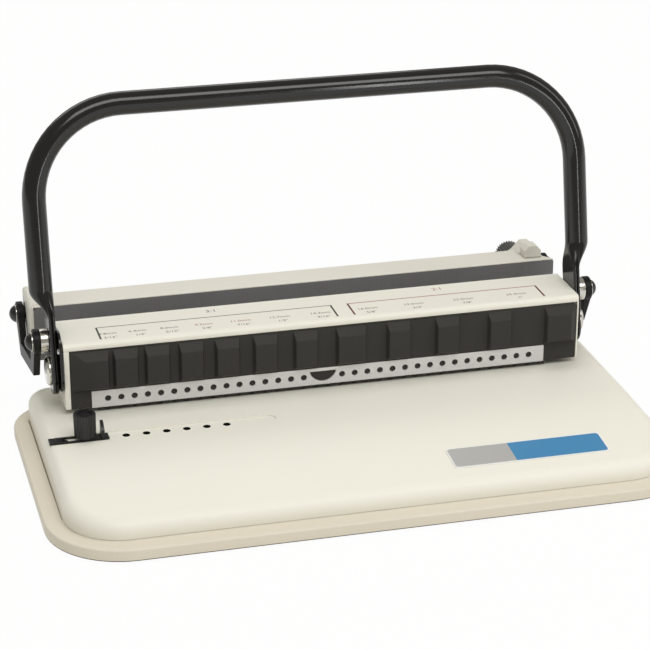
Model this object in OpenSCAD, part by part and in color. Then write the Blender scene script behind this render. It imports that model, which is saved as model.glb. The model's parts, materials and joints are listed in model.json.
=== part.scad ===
// Manual wire binding machine: a wedge-shaped base and table, a punching head
// across it, a U-shaped pull handle, and a wire closer behind the head that
// two side links draw forward as the handle comes down.
// +X right, +Y back, +Z up, origin under the middle of the machine.

/* [Base] */
// Distance from the head's side plates out to the side of the rim
base_side = 30; // [26:0.5:40]
// Distance from the hole strip's face to the front of the rim
base_front = 154; // [140:1:180]
// Distance from the hole strip's face to the back of the rim
base_rear = 64; // [62:1:72]
// Height of the rim above the feet
rim_h = 7.5; // [6:0.1:10]
// Corner radius of the rim at the front
rim_r_front = 48; // [36:1:60]
// Corner radius of the rim at the back
rim_r_rear = 36; // [26:1:44]
// Thickness of the rim's walls
rim_wall = 3; // [2:0.1:4]
// Thickness of the tray floor
floor_t = 2.5; // [2:0.1:3.5]
// Width of the ledge beside the table
ledge_side = 11; // [9:0.5:14]
// Width of the ledge in front of the table
ledge_front = 13; // [9:0.5:16]
// Width of the ledge behind the table
ledge_rear = 11; // [9:0.5:11]
// Height of the rubber feet below the rim
foot_h = 1; // [0.5:0.1:3]
// Diameter of a rubber foot
foot_d = 16; // [10:0.5:20]
// Diameter of the stem that holds a foot in the floor
foot_stem_d = 6; // [4:0.5:8]
// Diameter of a base screw's shank
base_screw_d = 4; // [3:0.5:5]

/* [Table] */
// Height of the flat part of the table above the rim
table_h = 17.8; // [16:0.1:24]
// Thickness of the table's skin and walls
table_skin = 3; // [2.5:0.1:4]
// Distance in front of the hole strip where the table starts to curve down
bend_start = 45; // [30:1:60]
// Radius of the table's long front curve
bend_r = 650; // [500:10:1200]
// Rounding of the table's upper edge
edge_r = 8; // [4:0.5:10]
// Height of the paper slot between the table and the head
slot_h = 3.5; // [2.5:0.1:5]

/* [Edge guide] */
// Distance from the hole strip's face forward to the guide track
track_front = 35.5; // [32:1:42]
// Width of the guide track
track_w = 11.6; // [9:0.1:14]
// Depth of the guide track
track_depth = 0.8; // [0.4:0.1:1.2]
// Length of the guide track from the table's left edge
track_l = 146; // [130:1:160]
// Distance between the track's holes
track_pitch = 12.7; // [10:0.1:15]
// Diameter of the track's holes
track_hole_d = 4.8; // [4.5:0.1:6]
// Number of holes in the track
track_holes = 9; // [6:1:9]
// Distance from the table's left edge to the guide knob
knob_in = 25.5; // [24:0.5:30]
// Diameter of the guide knob
knob_d = 14; // [10:0.5:18]
// Height of the guide knob
knob_h = 16; // [12:0.5:22]
// Diameter of the guide knob's screw
knob_screw_d = 4; // [3:0.1:4.4]
// Length of the guide bar
guide_l = 37; // [32:0.5:44]
// Width of the guide bar
guide_w = 7.6; // [7:0.1:9]
// Thickness of the guide bar
guide_t = 1.3; // [1:0.1:3]
// Width of the slot in the guide bar
guide_slot_w = 4.8; // [4.5:0.1:5.2]
// Travel of the guide to the right of its place
guide_travel_right = 12; // [6:0.5:13]
// Travel of the guide to the left of its place
guide_travel_left = 2.2; // [1:0.1:4]
// Height of the guide's fin above its bar
fin_h = 9.2; // [5:0.1:12]
// Thickness of the guide's fin
fin_t = 2; // [1:0.1:3]

/* [Label plate] */
// Length of the label plate
label_l = 99.5; // [60:0.5:120]
// Width of the label plate
label_w = 22.2; // [15:0.1:30]
// Thickness of the label plate
label_t = 0.5; // [0.3:0.1:1]
// Distance from the table's right edge to the label plate
label_in = 42.5; // [30:0.5:60]
// Distance from the hole strip's face forward to the label plate
label_front = 101.8; // [70:0.1:110]

/* [Head] */
// Width of the head over its side plates
head_w = 340; // [330:1:350]
// Height of the head above the paper slot
head_h = 44.2; // [42:0.1:52]
// Thickness of a side plate
side_t = 3.5; // [2.5:0.1:5]
// Thickness of the head cover
cover_t = 3; // [2:0.1:4]
// Height of the head cover's front lip
lip_h = 4.5; // [3.5:0.1:6]
// Rounding of the head cover's front edge
cover_r = 3; // [1:0.1:3.4]
// Thickness of the plate at the back of the head
back_t = 3; // [2:0.1:4]
// Thickness of the side plates' feet
side_foot_t = 2; // [1.5:0.1:2.5]
// Diameter of the tie rod between the side plates
tie_d = 8; // [6:0.5:9]

/* [Gauge panel] */
// Thickness of the gauge panel behind its blocks
panel_t = 2.6; // [2:0.1:2.8]
// Height that the gauge blocks stand out of the panel
block_h = 4; // [2:0.1:6]
// Extra width of the eighth block, between the two scales
block_extra_mid = 4; // [0:0.1:5]
// Extra width of the last block
block_extra_end = 2.7; // [0:0.1:4]
// Slope of the blocks' sides, measured across
block_side = 1.4; // [0.5:0.1:2]
// Slope of the blocks' upper edge, measured down
block_top = 6; // [3:0.1:8]
// Slope of the blocks' lower edge, measured up
block_bottom = 3.2; // [1:0.1:5]
// Slope of the first block's outer side, measured across
block_end_left = 9.6; // [4:0.1:10]
// Slope of the last block's outer side, measured across
block_end_right = 4.8; // [2:0.1:6]
// How far the panel laps over the front edge of the right side plate
panel_lap = 2.4; // [1:0.1:2.6]

/* [Hole strip] */
// Distance from the head's ends to the hole strip
strip_end = 20; // [17:0.5:24]
// Height of the hole strip
strip_h = 11.4; // [9:0.1:13]
// Thickness of the hole strip
strip_t = 1.2; // [0.8:0.1:1.5]
// Distance of the hole row's middle to the left of the machine's middle
row_left = 3.4; // [0:0.1:5]
// Distance between holes
hole_pitch = 8.4667; // [8:0.0001:8.6]
// Least distance from the strip's ends to the middle of a hole
strip_margin = 10; // [8:0.5:14]
// Diameter of the strip's holes
hole_d = 4; // [3:0.1:5]
// Width of the half-round notch in the middle of the strip
notch_w = 17.6; // [12:0.1:18]
// Depth of the half-round notch
notch_depth = 7; // [4:0.1:8]

/* [Punch] */
// Distance from the hole strip's face back to the punches
punch_back = 6; // [5.5:0.1:6.4]
// Diameter of a punch
punch_d = 4; // [3:0.1:4.5]
// Thickness of the punch bar
bar_t = 5; // [4.6:0.1:5]
// Height of the punch bar
bar_h = 18; // [14:0.5:20]
// Height of the punch guide
guide_h = 10.2; // [8:0.1:11]
// Height of the die plate
die_h = 8; // [6:0.1:9]
// Travel of the punches
stroke = 6; // [4:0.1:6]
// Thickness of the punch bar's end arms
arm_t = 3.5; // [2.5:0.1:4]
// Outside diameter of a spring sleeve
sleeve_d = 11; // [10:0.1:11]
// Diameter of a spring pin
spring_pin_d = 4; // [3:0.1:4.4]
// Diameter of the return springs' wire
spring_wire = 0.9; // [0.6:0.1:1]
// Number of turns in a return spring
spring_turns = 9; // [6:1:12]

/* [Handle] */
// Distance from the hole strip's face back to the main shaft
pivot_back = 17; // [16:0.1:19]
// Height of the main shaft above the paper slot
pivot_up = 21.3; // [20:0.1:24]
// Backward lean of the raised handle
lean = 11.4; // [5:0.1:15]
// Distance from the main shaft to the handle's grip bar
handle_reach = 164.6; // [140:0.1:200]
// Diameter of the handle tube
tube_d = 15; // [12:0.1:18]
// Distance of the legs' centre lines outside the flattened ends
leg_out = 2.2; // [0:0.1:3]
// Bend radius of the handle tube
bend_tube_r = 58; // [40:1:70]
// Thickness of the flattened tube ends
flat_t = 4.4; // [4:0.1:6]
// Width of the flattened tube ends
flat_w = 23; // [20:0.1:25]
// Length of the flattened ends above the main shaft
flat_l = 35; // [30:0.5:40]
// How far the flattened ends run on below the main shaft before they turn round
flat_end = 4; // [2:0.1:6]
// Side play of the handle, taken up to the left
handle_left = 1; // [0:0.1:1]
// Length over which the tube flattens
taper_l = 17; // [12:0.5:30]
// Diameter of the main shaft
shaft_d = 10; // [8:0.1:10.5]
// Least radius of a drive cam
cam_r = 7; // [6.5:0.1:7.2]
// Width of a drive cam
cam_w = 8; // [6:0.1:9]
// Diameter of a pivot bolt's head
pivot_head_d = 19; // [15:0.1:22]
// Height of a pivot bolt's head
pivot_head_h = 3; // [2:0.1:4]
// How far the hub plate behind the left leg reaches in front of the leg's middle
hub_front = 20; // [17.5:0.1:22]
// How far the hub plate reaches behind the leg's middle
hub_rear = 12; // [11:0.1:18]
// How far the hub plate reaches up the leg from the main shaft
hub_up = 27; // [22:0.1:30]
// How far the hub plate reaches below the main shaft
hub_down = 12; // [11:0.1:14]
// Radius of the hub plate's corners
hub_r = 10; // [6:0.1:11]
// Height of the hub plate's rivet above the main shaft
rivet_up = 14.4; // [10:0.1:16]
// Diameter of the hub plate's rivet
rivet_d = 4.2; // [3:0.1:4.8]

/* [Links] */
// Distance from the main shaft to the link bolt on the handle
link_arm = 19.4; // [17.5:0.1:21]
// Thickness of a link
link_t = 4.4; // [4:0.1:6]
// Length of the spacer between the handle and a link
spacer_l = 5.3; // [4.6:0.1:7]
// Diameter of the spacer
spacer_d = 15.5; // [12:0.1:17]
// Diameter of the link bolts' shanks
link_bolt_d = 8; // [6:0.1:8.5]
// Diameter of the link bolts' domed heads
dome_d = 11.5; // [10:0.1:14]
// Height of the link bolts' domed heads
dome_h = 4; // [3:0.1:5]
// Thickness of the washers under the domed heads
washer_t = 0.8; // [0.5:0.1:1.2]
// Radius of a link's eyes
link_eye_r = 8; // [7.2:0.1:10]
// Depth of a link below its bolt on the handle
link_drop_front = 25.5; // [22:0.1:28]
// Depth of a link below its bolt on the closer
link_drop_rear = 25; // [22:0.1:28]
// Height of the bar between a link's two eyes
link_bar = 10; // [8:0.1:12]

/* [Closer] */
// Gap between the head and the open closer
wire_gap = 32; // [28:0.5:36]
// Depth of the closer
closer_d = 40; // [36:0.5:46]
// How far the closer's ends stand out past the head's side plates
closer_over = 9; // [7:0.1:10]
// How much further the closer's left end stands out than its right end
closer_left = 1.8; // [0:0.1:2.4]
// Height of the closer's top above the head's underside
closer_up = 42.2; // [38:0.1:46]
// Height of the closer
closer_h = 38; // [34:0.5:40]
// Thickness of the closer's ribbed front bar
closer_bar_t = 4; // [3:0.1:6]
// Depth of the closer's top cover
closer_top_d = 23; // [20:0.5:26]
// Thickness of the closer's cover
closer_skin = 1; // [0.8:0.1:2]
// Thickness of the closer's end cheeks
cheek_t = 6; // [5:0.1:8]
// Diameter of the closer's guide rods
rod_d = 10; // [8:0.1:11]
// Distance from the closer's ends to its guide rods
rod_inset = 59; // [50:1:80]
// Depth of the bevel at the right end of the closer's cover
cover_bevel = 8; // [4:0.5:10]
// Distance from the closer's front back to its link bolts
link_back = 30; // [26:0.5:33]
// Distance from the closer's top down to its link bolts
link_down = 15.5; // [13:0.1:18]

/* [Adjuster] */
// Distance from the closer's right end to the adjusting wheel
wheel_in = 19.7; // [19:0.1:25]
// Distance from the closer's top down to the wheel's axis
wheel_down = 8.6; // [7:0.1:10]
// Diameter of the adjusting wheel
wheel_d = 18.6; // [17:0.1:20]
// Width of the adjusting wheel
wheel_w = 12; // [8:0.1:14]
// Number of grooves round the adjusting wheel
wheel_grooves = 36; // [24:1:48]
// Diameter of the adjusting screw
adjust_d = 6; // [4:0.1:7]
// Thickness of the tower plate that carries the wheel
tower_t = 4; // [3:0.1:5]
// Height of the tower above the closer's top
tower_up = 6; // [4:0.1:8]
// Width of the octagonal boss in front of the tower
boss_w = 12; // [8:0.1:13]
// Distance from the closer's front back to the boss
boss_back = 4.8; // [3:0.1:8]
// Length of the boss
boss_l = 8.7; // [6:0.1:12]

/* [Chip drawer] */
// Width of the chip drawer
drawer_w = 30; // [24:1:34]
// How far the chip drawer stops short of the die plate's left end
drawer_short = 8; // [5:0.5:12]
// Thickness of the chip drawer's walls
drawer_wall = 1.6; // [1:0.1:2.5]
// Reach of the chip drawer's pull
pull_reach = 5; // [3:0.1:8]

/* [Hidden] */
$fn = 64;

// Clearances: a turning or sliding fit, a fixed fit, and free air between pieces that pass
run_gap = 0.05;
fix_gap = 0.03;
face_gap = 0.1;
free_gap = 1.2;
// Overlap that makes a cut pass clean through a face
eps = 0.1;

// Widths that follow the head
base_w = head_w + 2 * base_side;
closer_w = head_w + 2 * closer_over;
strip_l = head_w - 2 * strip_end;
hole_count = 2 * floor((strip_l - 2 * strip_margin) / hole_pitch / 2 + 0.5);

// Depth of the head: the shaft, the cams and the spring sleeves stand one behind another in it
cam_sleeve_gap = 1.5;
sleeve_back_gap = 2.5;
head_d = pivot_back + cam_r + cam_sleeve_gap + sleeve_d + sleeve_back_gap + back_t;

// Heights
z_rim = foot_h + rim_h;
z_floor = foot_h + floor_t;
z_table = z_rim + table_h;
z_skin = z_table - table_skin;
z_head = z_table + slot_h;
z_top = z_head + head_h;
z_row = z_head + strip_h / 2;
z_panel = z_top - lip_h;
z_closer = z_head + closer_up;
z_closer_low = z_closer - closer_h;

// Places from front to back
y_strip = (base_front - head_d - wire_gap - closer_d) / 2;
y_base_front = y_strip - base_front;
y_base_rear = y_strip + base_rear;
y_table_front = y_base_front + ledge_front;
y_table_rear = y_base_rear - ledge_rear;
y_bend = y_strip - bend_start;
y_track = y_strip - track_front;
y_punch = y_strip + punch_back;
y_head_back = y_strip + head_d;
y_back_plate = y_head_back - back_t;
y_closer = y_head_back + wire_gap;
y_closer_back = y_closer + closer_d;
y_beam = y_closer + closer_bar_t;

// Table
table_w = base_w - 2 * ledge_side;
table_r_front = rim_r_front - ledge_front;
table_r_rear = rim_r_rear - ledge_rear;
track_end = table_w / 2 - track_l;
knob_x = table_w / 2 - knob_in;
label_x = table_w / 2 - label_in - label_l;

// Head
side_in = head_w / 2 - side_t;
foot_in = 16;
panel_half = side_in - 0.2;
panel_right = side_in + panel_lap;
row_x = -row_left;
row_half = (hole_count - 1) / 2 * hole_pitch;
guide_half = row_left + row_half + punch_d;
guide_front = y_strip + panel_t + face_gap;
guide_back = y_punch + punch_d / 2 + 3.5;
die_web = 1;
die_front = y_punch - punch_d / 2 - die_web;
die_back = guide_back + 1.5;
die_half = guide_half + 2;
die_ear = 12;
screw_d = 3;
screw_head_d = 5.5;
screw_head_h = 1.5;

// Handle and cams
pivot_y = y_strip + pivot_back;
pivot_z = z_head + pivot_up;
flat_in = head_w / 2 + free_gap;
flat_out = flat_in + flat_t;
leg_x = flat_out + leg_out;
swing = 80;
cam_clear = 1.2;
cam_lobe = 8;
cam_fall = 60;
cam_x = guide_half + arm_t + 6;
arm_x = guide_half + 0.8;
arm_out = cam_x + cam_w + 1.5;
z_arm = pivot_z - cam_r - cam_clear;
arm_h = 4;
sleeve_up = 12;
z_bar = z_head + guide_h + stroke + 2;
sleeve_x = cam_x + cam_w / 2;
sleeve_y = pivot_y + cam_r + sleeve_d / 2 + cam_sleeve_gap;
sleeve_top = z_arm + sleeve_up;
sleeve_wall = 1.4;
sleeve_roof = 2.5;
z_side_foot = z_table + side_foot_t;
spring_r = (spring_pin_d / 2 + sleeve_d / 2 - sleeve_wall) / 2;

// Links
bolt_y = pivot_y + link_arm * sin(lean);
bolt_z = pivot_z + link_arm * cos(lean);
link_in = flat_out + spacer_l + face_gap;
link_out = link_in + link_t;
washer_in = link_out + face_gap;
dome_in = washer_in + washer_t;
eye_y = y_closer + link_back;
eye_z = z_closer - link_down;
cheek_pocket_d = link_bolt_d + 6.8;
cheek_pocket_l = cheek_t - 1.4;
eye_shank_in = closer_w / 2 - cheek_pocket_l + handle_left + 0.8;

// Closer
rod_z = z_closer_low + rod_d / 2 + 4;
rod_in = y_back_plate - 3;
rod_collar_d = rod_d + 5;
rod_back = y_closer_back - 4;
bush_wall = 2;
rod_gap = closer_w - 2 * rod_inset;
beam_h = rod_d + 9;
beam_half = closer_w / 2 - cheek_t;
cheek_left = closer_w / 2 + closer_left;
bar_left = closer_w / 2 - 0.4;
wheel_x = closer_w / 2 - wheel_in;
wheel_z = z_closer - wheel_down;
y_tower = y_closer + closer_top_d;
y_wheel = y_tower + tower_t + 1;

// Chip drawer
drawer_y = y_punch - drawer_w / 2 + 3;
drawer_right = table_w / 2;
drawer_left = -die_half + drawer_short;
drawer_gap = 0.4;
drawer_low = z_rim + 0.3;
die_low = z_table - die_h;
drawer_h = die_low - 0.5 - drawer_low;

// A rounded rectangle whose front and back corners have their own radii
module plan(w, y0, y1, rf, rr) {
  translate([-w / 2, y0 + rf]) square([w, y1 - y0 - rf - rr]);
  translate([-w / 2 + rf, y0]) square([w - 2 * rf, rf + eps]);
  translate([-w / 2 + rr, y1 - rr - eps]) square([w - 2 * rr, rr + eps]);
  for (s = [-1, 1]) {
    translate([s * (w / 2 - rf), y0 + rf]) circle(r = rf);
    translate([s * (w / 2 - rr), y1 - rr]) circle(r = rr);
  }
}

// The rim's outline, drawn in by d on every side
module rim_plan(d) {
  plan(base_w - 2 * d, y_base_front + d, y_base_rear - d, rim_r_front - d, rim_r_rear - d);
}

// The table's outline, drawn in by d on every side
module table_plan(d) {
  plan(table_w - 2 * d, y_table_front + d, y_table_rear - d, table_r_front - d, table_r_rear - d);
}

// Stretches a profile drawn in Y and Z along X
module along_x(x0, x1) {
  translate([x0, 0, 0]) rotate([90, 0, 90]) linear_extrude(x1 - x0) children();
}

// A round bar along X
module rod_x(x0, x1, y, z, d) {
  translate([x0, y, z]) rotate([0, 90, 0]) cylinder(h = x1 - x0, d = d);
}

// A round bar along Y
module rod_y(y0, y1, x, z, d) {
  translate([x, y1, z]) rotate([90, 0, 0]) cylinder(h = y1 - y0, d = d);
}

// A box between two corners
module block(low, high) {
  translate(low) cube(high - low);
}

// A piece and its mirror image on the other side
module both_sides() {
  children();
  mirror([1, 0, 0]) children();
}

// The children at every place of the hole row
module hole_row() {
  for (i = [0:hole_count - 1]) translate([row_x - row_half + i * hole_pitch, 0, 0]) children();
}

// A pan-head screw along Z, its head down, seated at z
module screw_up(x, y, z, d, l) {
  translate([x, y, z]) cylinder(h = l, d = d);
  translate([x, y, z - screw_head_h]) cylinder(h = screw_head_h, d = d + 2.5);
}

// Height of the table's top at a place from front to back
function table_z(y) = y > y_bend ? z_table : z_table - bend_r + sqrt(bend_r ^ 2 - (y_bend - y) ^ 2);

// Height of the middle of the table's edge rounding at a place from front to back
function edge_z(y) = y > y_bend ? z_table - edge_r : z_table - bend_r + sqrt((bend_r - edge_r) ^ 2 - (y_bend - y) ^ 2);

// Places where the base screws and the feet sit
base_screw_l = 9;
screw_in = 17;
screw_front = 36;
screw_rear = 18;
foot_in_x = 34;
foot_front = 40;
foot_rear = 26;
screw_x = table_w / 2 - screw_in;
screw_y = [y_table_front + screw_front, y_table_rear - screw_rear];
foot_x = table_w / 2 - foot_in_x;
foot_y = [y_table_front + foot_front, y_table_rear - foot_rear];

module base_tray() color([0.86, 0.81, 0.70]) difference() {
  translate([0, 0, foot_h]) linear_extrude(rim_h) rim_plan(0);
  translate([0, 0, z_floor]) linear_extrude(rim_h) rim_plan(ledge_front + rim_wall);
  translate([0, 0, foot_h - eps]) linear_extrude(rim_h - floor_t + eps) difference() {
    rim_plan(rim_wall);
    rim_plan(ledge_front);
  }
  for (x = [-screw_x, screw_x], y = screw_y) {
    translate([x, y, 0]) cylinder(h = z_rim, d = base_screw_d + 2 * fix_gap);
    translate([x, y, 0]) cylinder(h = foot_h + screw_head_h, d = base_screw_d + 3);
  }
  for (x = [-foot_x, foot_x], y = foot_y) translate([x, y, 0]) cylinder(h = z_rim, d = foot_stem_d + 2 * fix_gap);
}

module rubber_feet() color([0.16, 0.16, 0.16]) for (x = [-foot_x, foot_x], y = foot_y) translate([x, y, 0]) {
  cylinder(h = foot_h, d = foot_d);
  cylinder(h = z_floor, d = foot_stem_d);
}

module base_screws() color([0.70, 0.70, 0.72]) for (x = [-screw_x, screw_x], y = screw_y)
  screw_up(x, y, foot_h + screw_head_h, base_screw_d, base_screw_l);

// Two ribs that carry the chip drawer above the tray floor
runner_w = 3;
runner_in = 2;
runner_lead = 10;
runner_end = 24;

module drawer_runners() color([0.80, 0.76, 0.66])
  for (y = [drawer_y + runner_in, drawer_y + drawer_w - runner_in - runner_w])
    block([drawer_left - runner_lead, y, z_floor], [table_w / 2 - runner_end, y + runner_w, drawer_low]);

// The table's outer form, with its long front curve and rounded upper edge
module table_form() hull() {
  translate([0, 0, z_rim]) linear_extrude(eps) table_plan(0);
  for (s = [-1, 1]) {
    for (a = [0:15:90]) {
      translate([s * (table_w / 2 - table_r_rear + (table_r_rear - edge_r) * cos(a)),
        y_table_rear - table_r_rear + (table_r_rear - edge_r) * sin(a), z_table - edge_r]) sphere(r = edge_r, $fn = 24);
      front_y = y_table_front + table_r_front - (table_r_front - edge_r) * sin(a);
      translate([s * (table_w / 2 - table_r_front + (table_r_front - edge_r) * cos(a)),
        front_y, edge_z(front_y)]) sphere(r = edge_r, $fn = 24);
    }
    for (i = [0:5]) {
      side_y = y_bend - i / 6 * (y_bend - y_table_front - table_r_front);
      translate([s * (table_w / 2 - edge_r), side_y, edge_z(side_y)]) sphere(r = edge_r, $fn = 24);
    }
  }
}

// The room under the table's skin
module table_room() intersection() {
  translate([0, 0, z_rim - eps]) linear_extrude(table_h) table_plan(table_skin);
  along_x(-table_w, table_w) union() {
    translate([y_bend, 0]) square([base_rear + bend_start, z_skin]);
    intersection() {
      translate([y_bend, z_skin - bend_r]) circle(r = bend_r, $fn = 256);
      translate([y_base_front, 0]) square([y_bend - y_base_front + eps, z_table]);
    }
  }
}

module table_cover() color([0.92, 0.91, 0.85]) difference() {
  union() {
    difference() {
      table_form();
      table_room();
      block([-base_w, y_base_front, 0], [base_w, y_base_rear, z_rim]);
    }
    for (x = [-screw_x, screw_x], y = screw_y)
      translate([x, y, z_floor]) cylinder(h = table_z(y) - z_floor - table_skin / 2, d = base_screw_d + 6);
  }
  for (x = [-screw_x, screw_x], y = screw_y)
    translate([x, y, 0]) cylinder(h = foot_h + screw_head_h + base_screw_l + 1, d = base_screw_d + 2 * fix_gap);
  block([-table_w, y_track - track_w / 2, z_table - track_depth],
    [-track_end - track_w / 2, y_track + track_w / 2, z_table + eps]);
  translate([-track_end - track_w / 2, y_track, z_table - track_depth]) cylinder(h = 1, d = track_w);
  for (i = [0:track_holes - 1])
    translate([-knob_x + (i - 1) * track_pitch, y_track, z_skin - 1]) cylinder(h = table_skin + 1, d = track_hole_d);
  block([-die_half - fix_gap, die_front - fix_gap, z_skin - 1], [die_half + fix_gap, die_back + fix_gap, z_table + 1]);
  block([table_w / 2 - table_skin - 1, drawer_y - drawer_gap, z_rim - 1],
    [table_w / 2 + 1, drawer_y + drawer_w + drawer_gap, drawer_low + drawer_h + drawer_gap]);
  for (s = [-1, 1], y = side_screw_y)
    translate([s * side_screw_x, y, z_skin - 1]) cylinder(h = table_skin + 2, d = screw_d + 2 * fix_gap);
  for (s = [-1, 1]) translate([s * die_screw_x, die_screw_y, z_skin - 1]) cylinder(h = 2.5, d = screw_d + 2 * fix_gap);
}

// Screws up through the table into the side plates' feet, and up through the die plate's ears
side_screw_x = side_in - foot_in / 2 - 4.5;
side_screw_y = [pivot_y + 3, y_back_plate - 4];
die_screw_x = die_half + die_ear / 2;
die_screw_y = (die_front + die_back) / 2;

module die_plate() color([0.55, 0.55, 0.57]) difference() {
  union() {
    block([-die_half, die_front, die_low], [die_half, die_back, z_table]);
    block([-die_half - die_ear, die_front, die_low], [die_half + die_ear, die_back, z_skin]);
  }
  hole_row() translate([0, y_punch, die_low - 1]) cylinder(h = die_h + 2, d = punch_d + 2 * run_gap);
  for (s = [-1, 1]) translate([s * die_screw_x, die_screw_y, 0]) cylinder(h = z_table, d = screw_d + 2 * fix_gap);
  for (s = [-1, 1]) translate([s * block_screw_x, block_screw_y, 0]) cylinder(h = z_table + 1, d = screw_d + 2 * fix_gap);
  for (s = [-1, 1]) translate([s * die_screw_x, die_screw_y, die_low - 1])
    cylinder(h = screw_head_h + 1, d = screw_head_d + 0.4);
}

module die_screws() color([0.70, 0.70, 0.72]) for (s = [-1, 1])
  screw_up(s * die_screw_x, die_screw_y, die_low + screw_head_h, screw_d, z_skin - die_low - screw_head_h + 1.2);

// A plain two-part plate that lies on the table's front curve
module label_plate() color([0.42, 0.60, 0.76]) intersection() {
  along_x(label_x, label_x + label_l) difference() {
    translate([y_bend, z_table - bend_r]) circle(r = bend_r + label_t + run_gap, $fn = 512);
    translate([y_bend, z_table - bend_r]) circle(r = bend_r + run_gap, $fn = 512);
  }
  block([label_x, y_strip - label_front - label_w, 0], [label_x + label_l, y_strip - label_front, z_top]);
}

// A side plate of the head, with a foot that stands on the table
module side_plate() difference() {
  union() {
    along_x(side_in, head_w / 2) polygon([[y_strip, z_head + 0.4], [y_strip, z_panel], [y_strip + cover_t, z_panel],
      [y_strip + cover_t, z_top - cover_t], [y_head_back, z_top - cover_t], [y_head_back, z_table],
      [die_back + 1, z_table], [die_back + 1, z_head + 0.4]]);
    block([side_in - foot_in, die_back + 1, z_table], [side_in + eps, y_back_plate - face_gap, z_side_foot]);
  }
  rod_x(side_in - 1, head_w / 2 + 1, pivot_y, pivot_z, shaft_d + 6);
  rod_x(side_in - 1, head_w / 2 + 1, tie_y, tie_z, screw_d + 1);
  rod_x(head_w / 2 - tie_head_h, head_w / 2 + 1, tie_y, tie_z, screw_head_d + 1 + 2 * fix_gap);
  for (y = side_screw_y) translate([side_screw_x, y, z_table - 1]) cylinder(h = side_foot_t + 2, d = screw_d + 2 * fix_gap);
  translate([sleeve_x, sleeve_y, z_table - 1]) cylinder(h = side_foot_t + 2, d = screw_d + 2 * fix_gap);
}

module side_plate_right() color([0.92, 0.91, 0.85]) difference() {
  side_plate();
  block([side_in - 1, y_strip - 1, z_table], [panel_right + fix_gap, y_strip + panel_t + fix_gap, z_panel]);
}

module side_plate_left() color([0.92, 0.91, 0.85]) mirror([1, 0, 0]) side_plate();

// Screws that hold the side plates' feet down and the tie rod's ends
module side_plate_screws() color([0.75, 0.75, 0.76]) both_sides() {
  for (y = side_screw_y) screw_up(side_screw_x, y, z_skin, screw_d, table_skin + side_foot_t);
  rod_x(side_in + 0.1, head_w / 2 - tie_head_h + eps, tie_y, tie_z, screw_d);
  rod_x(head_w / 2 - tie_head_h, head_w / 2, tie_y, tie_z, screw_head_d + 1);
}

module shaft_bushes() color([0.72, 0.58, 0.32]) both_sides() difference() {
  rod_x(side_in, head_w / 2, pivot_y, pivot_z, shaft_d + 6 - 2 * fix_gap);
  rod_x(side_in - 1, head_w / 2 + 1, pivot_y, pivot_z, shaft_d + 2 * run_gap);
}

// The cover: a flat top with a rounded front edge and a short lip
module head_cover() color([0.92, 0.91, 0.85]) difference() {
  along_x(-head_w / 2, head_w / 2) union() {
    translate([y_strip + cover_r - eps, z_top - cover_t]) square([head_d - cover_r + eps, cover_t]);
    translate([y_strip, z_panel]) square([cover_t, lip_h - cover_r + eps]);
    intersection() {
      translate([y_strip + cover_r, z_top - cover_r]) circle(r = cover_r);
      translate([y_strip, z_top - cover_r]) square(cover_r);
    }
  }
  for (x = cover_screw_x) translate([x, cover_screw_y, z_top - cover_t - 1])
    cylinder(h = cover_t, d = screw_d + 2 * fix_gap);
}

// Screws from the tie rod up into the cover
cover_screw_x = [-head_w / 4, head_w / 4];
cover_screw_y = y_back_plate - 7;
tie_y = cover_screw_y;
tie_z = z_top - cover_t - tie_d / 2;
tie_head_h = 1;

module cover_screws() color([0.70, 0.70, 0.72]) for (x = cover_screw_x)
  translate([x, cover_screw_y, tie_z - tie_d / 2 - screw_head_h]) {
    cylinder(h = screw_head_h + tie_d + cover_t - 1, d = screw_d);
    cylinder(h = screw_head_h, d = screw_head_d);
  }

// Widths of the gauge's channels: one for each wire size
wire_sizes = [4.8, 6.4, 8, 9.5, 11, 12.7, 14.3, 16, 19, 22, 25.4];
block_edge = 0.2;
// The blocks share what the channels, the slopes at the ends and the two wider blocks leave of the panel
function total(list, i = 0) = i < len(list) ? list[i] + total(list, i + 1) : 0;
block_room = panel_half + panel_right - block_end_left - block_end_right - 2 * block_edge;
block_w = (block_room - total(wire_sizes) - block_extra_mid - block_extra_end) / (len(wire_sizes) + 1);
// Width of each block's face, and where it starts
function block_face(i) = block_w + (i == 7 ? block_extra_mid : 0) + (i == 11 ? block_extra_end : 0);
function block_start(i) = i == 0 ? -panel_half + block_end_left + block_edge
  : block_start(i - 1) + block_face(i - 1) + wire_sizes[i - 1];
z_gauge = z_head + strip_h;
block_root = 0.5;

// One gauge block, sloped on all four sides, its root let into the panel
module gauge_block(i) {
  left = i == 0 ? block_end_left : block_side;
  right = i == 11 ? block_end_right : block_side;
  x0 = block_start(i);
  x1 = x0 + block_face(i);
  y0 = y_strip - block_h;
  y1 = y_strip + block_root;
  z0 = z_gauge + 0.3;
  z1 = z_panel - 0.6;
  intersection() {
    along_x(x0 - left, x1 + right) polygon([[y1, z0], [y0, z0 + block_bottom], [y0, z1 - block_top], [y1, z1]]);
    translate([0, 0, z0]) linear_extrude(z1 - z0) polygon([[x0 - left, y1], [x0, y0], [x1, y0], [x1 + right, y1]]);
  }
}

// The panel's upper right corner is cut off at a slant
corner_w = 2;
corner_h = 3.4;

module panel_corner() translate([panel_right, y_strip - block_h - 1, z_panel]) rotate([-90, 0, 0])
  linear_extrude(panel_t + block_h + 2)
    polygon([[-1.5 * corner_w, -corner_h / 2], [corner_w / 2, 1.5 * corner_h], [corner_w / 2, -corner_h / 2]]);

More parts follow.
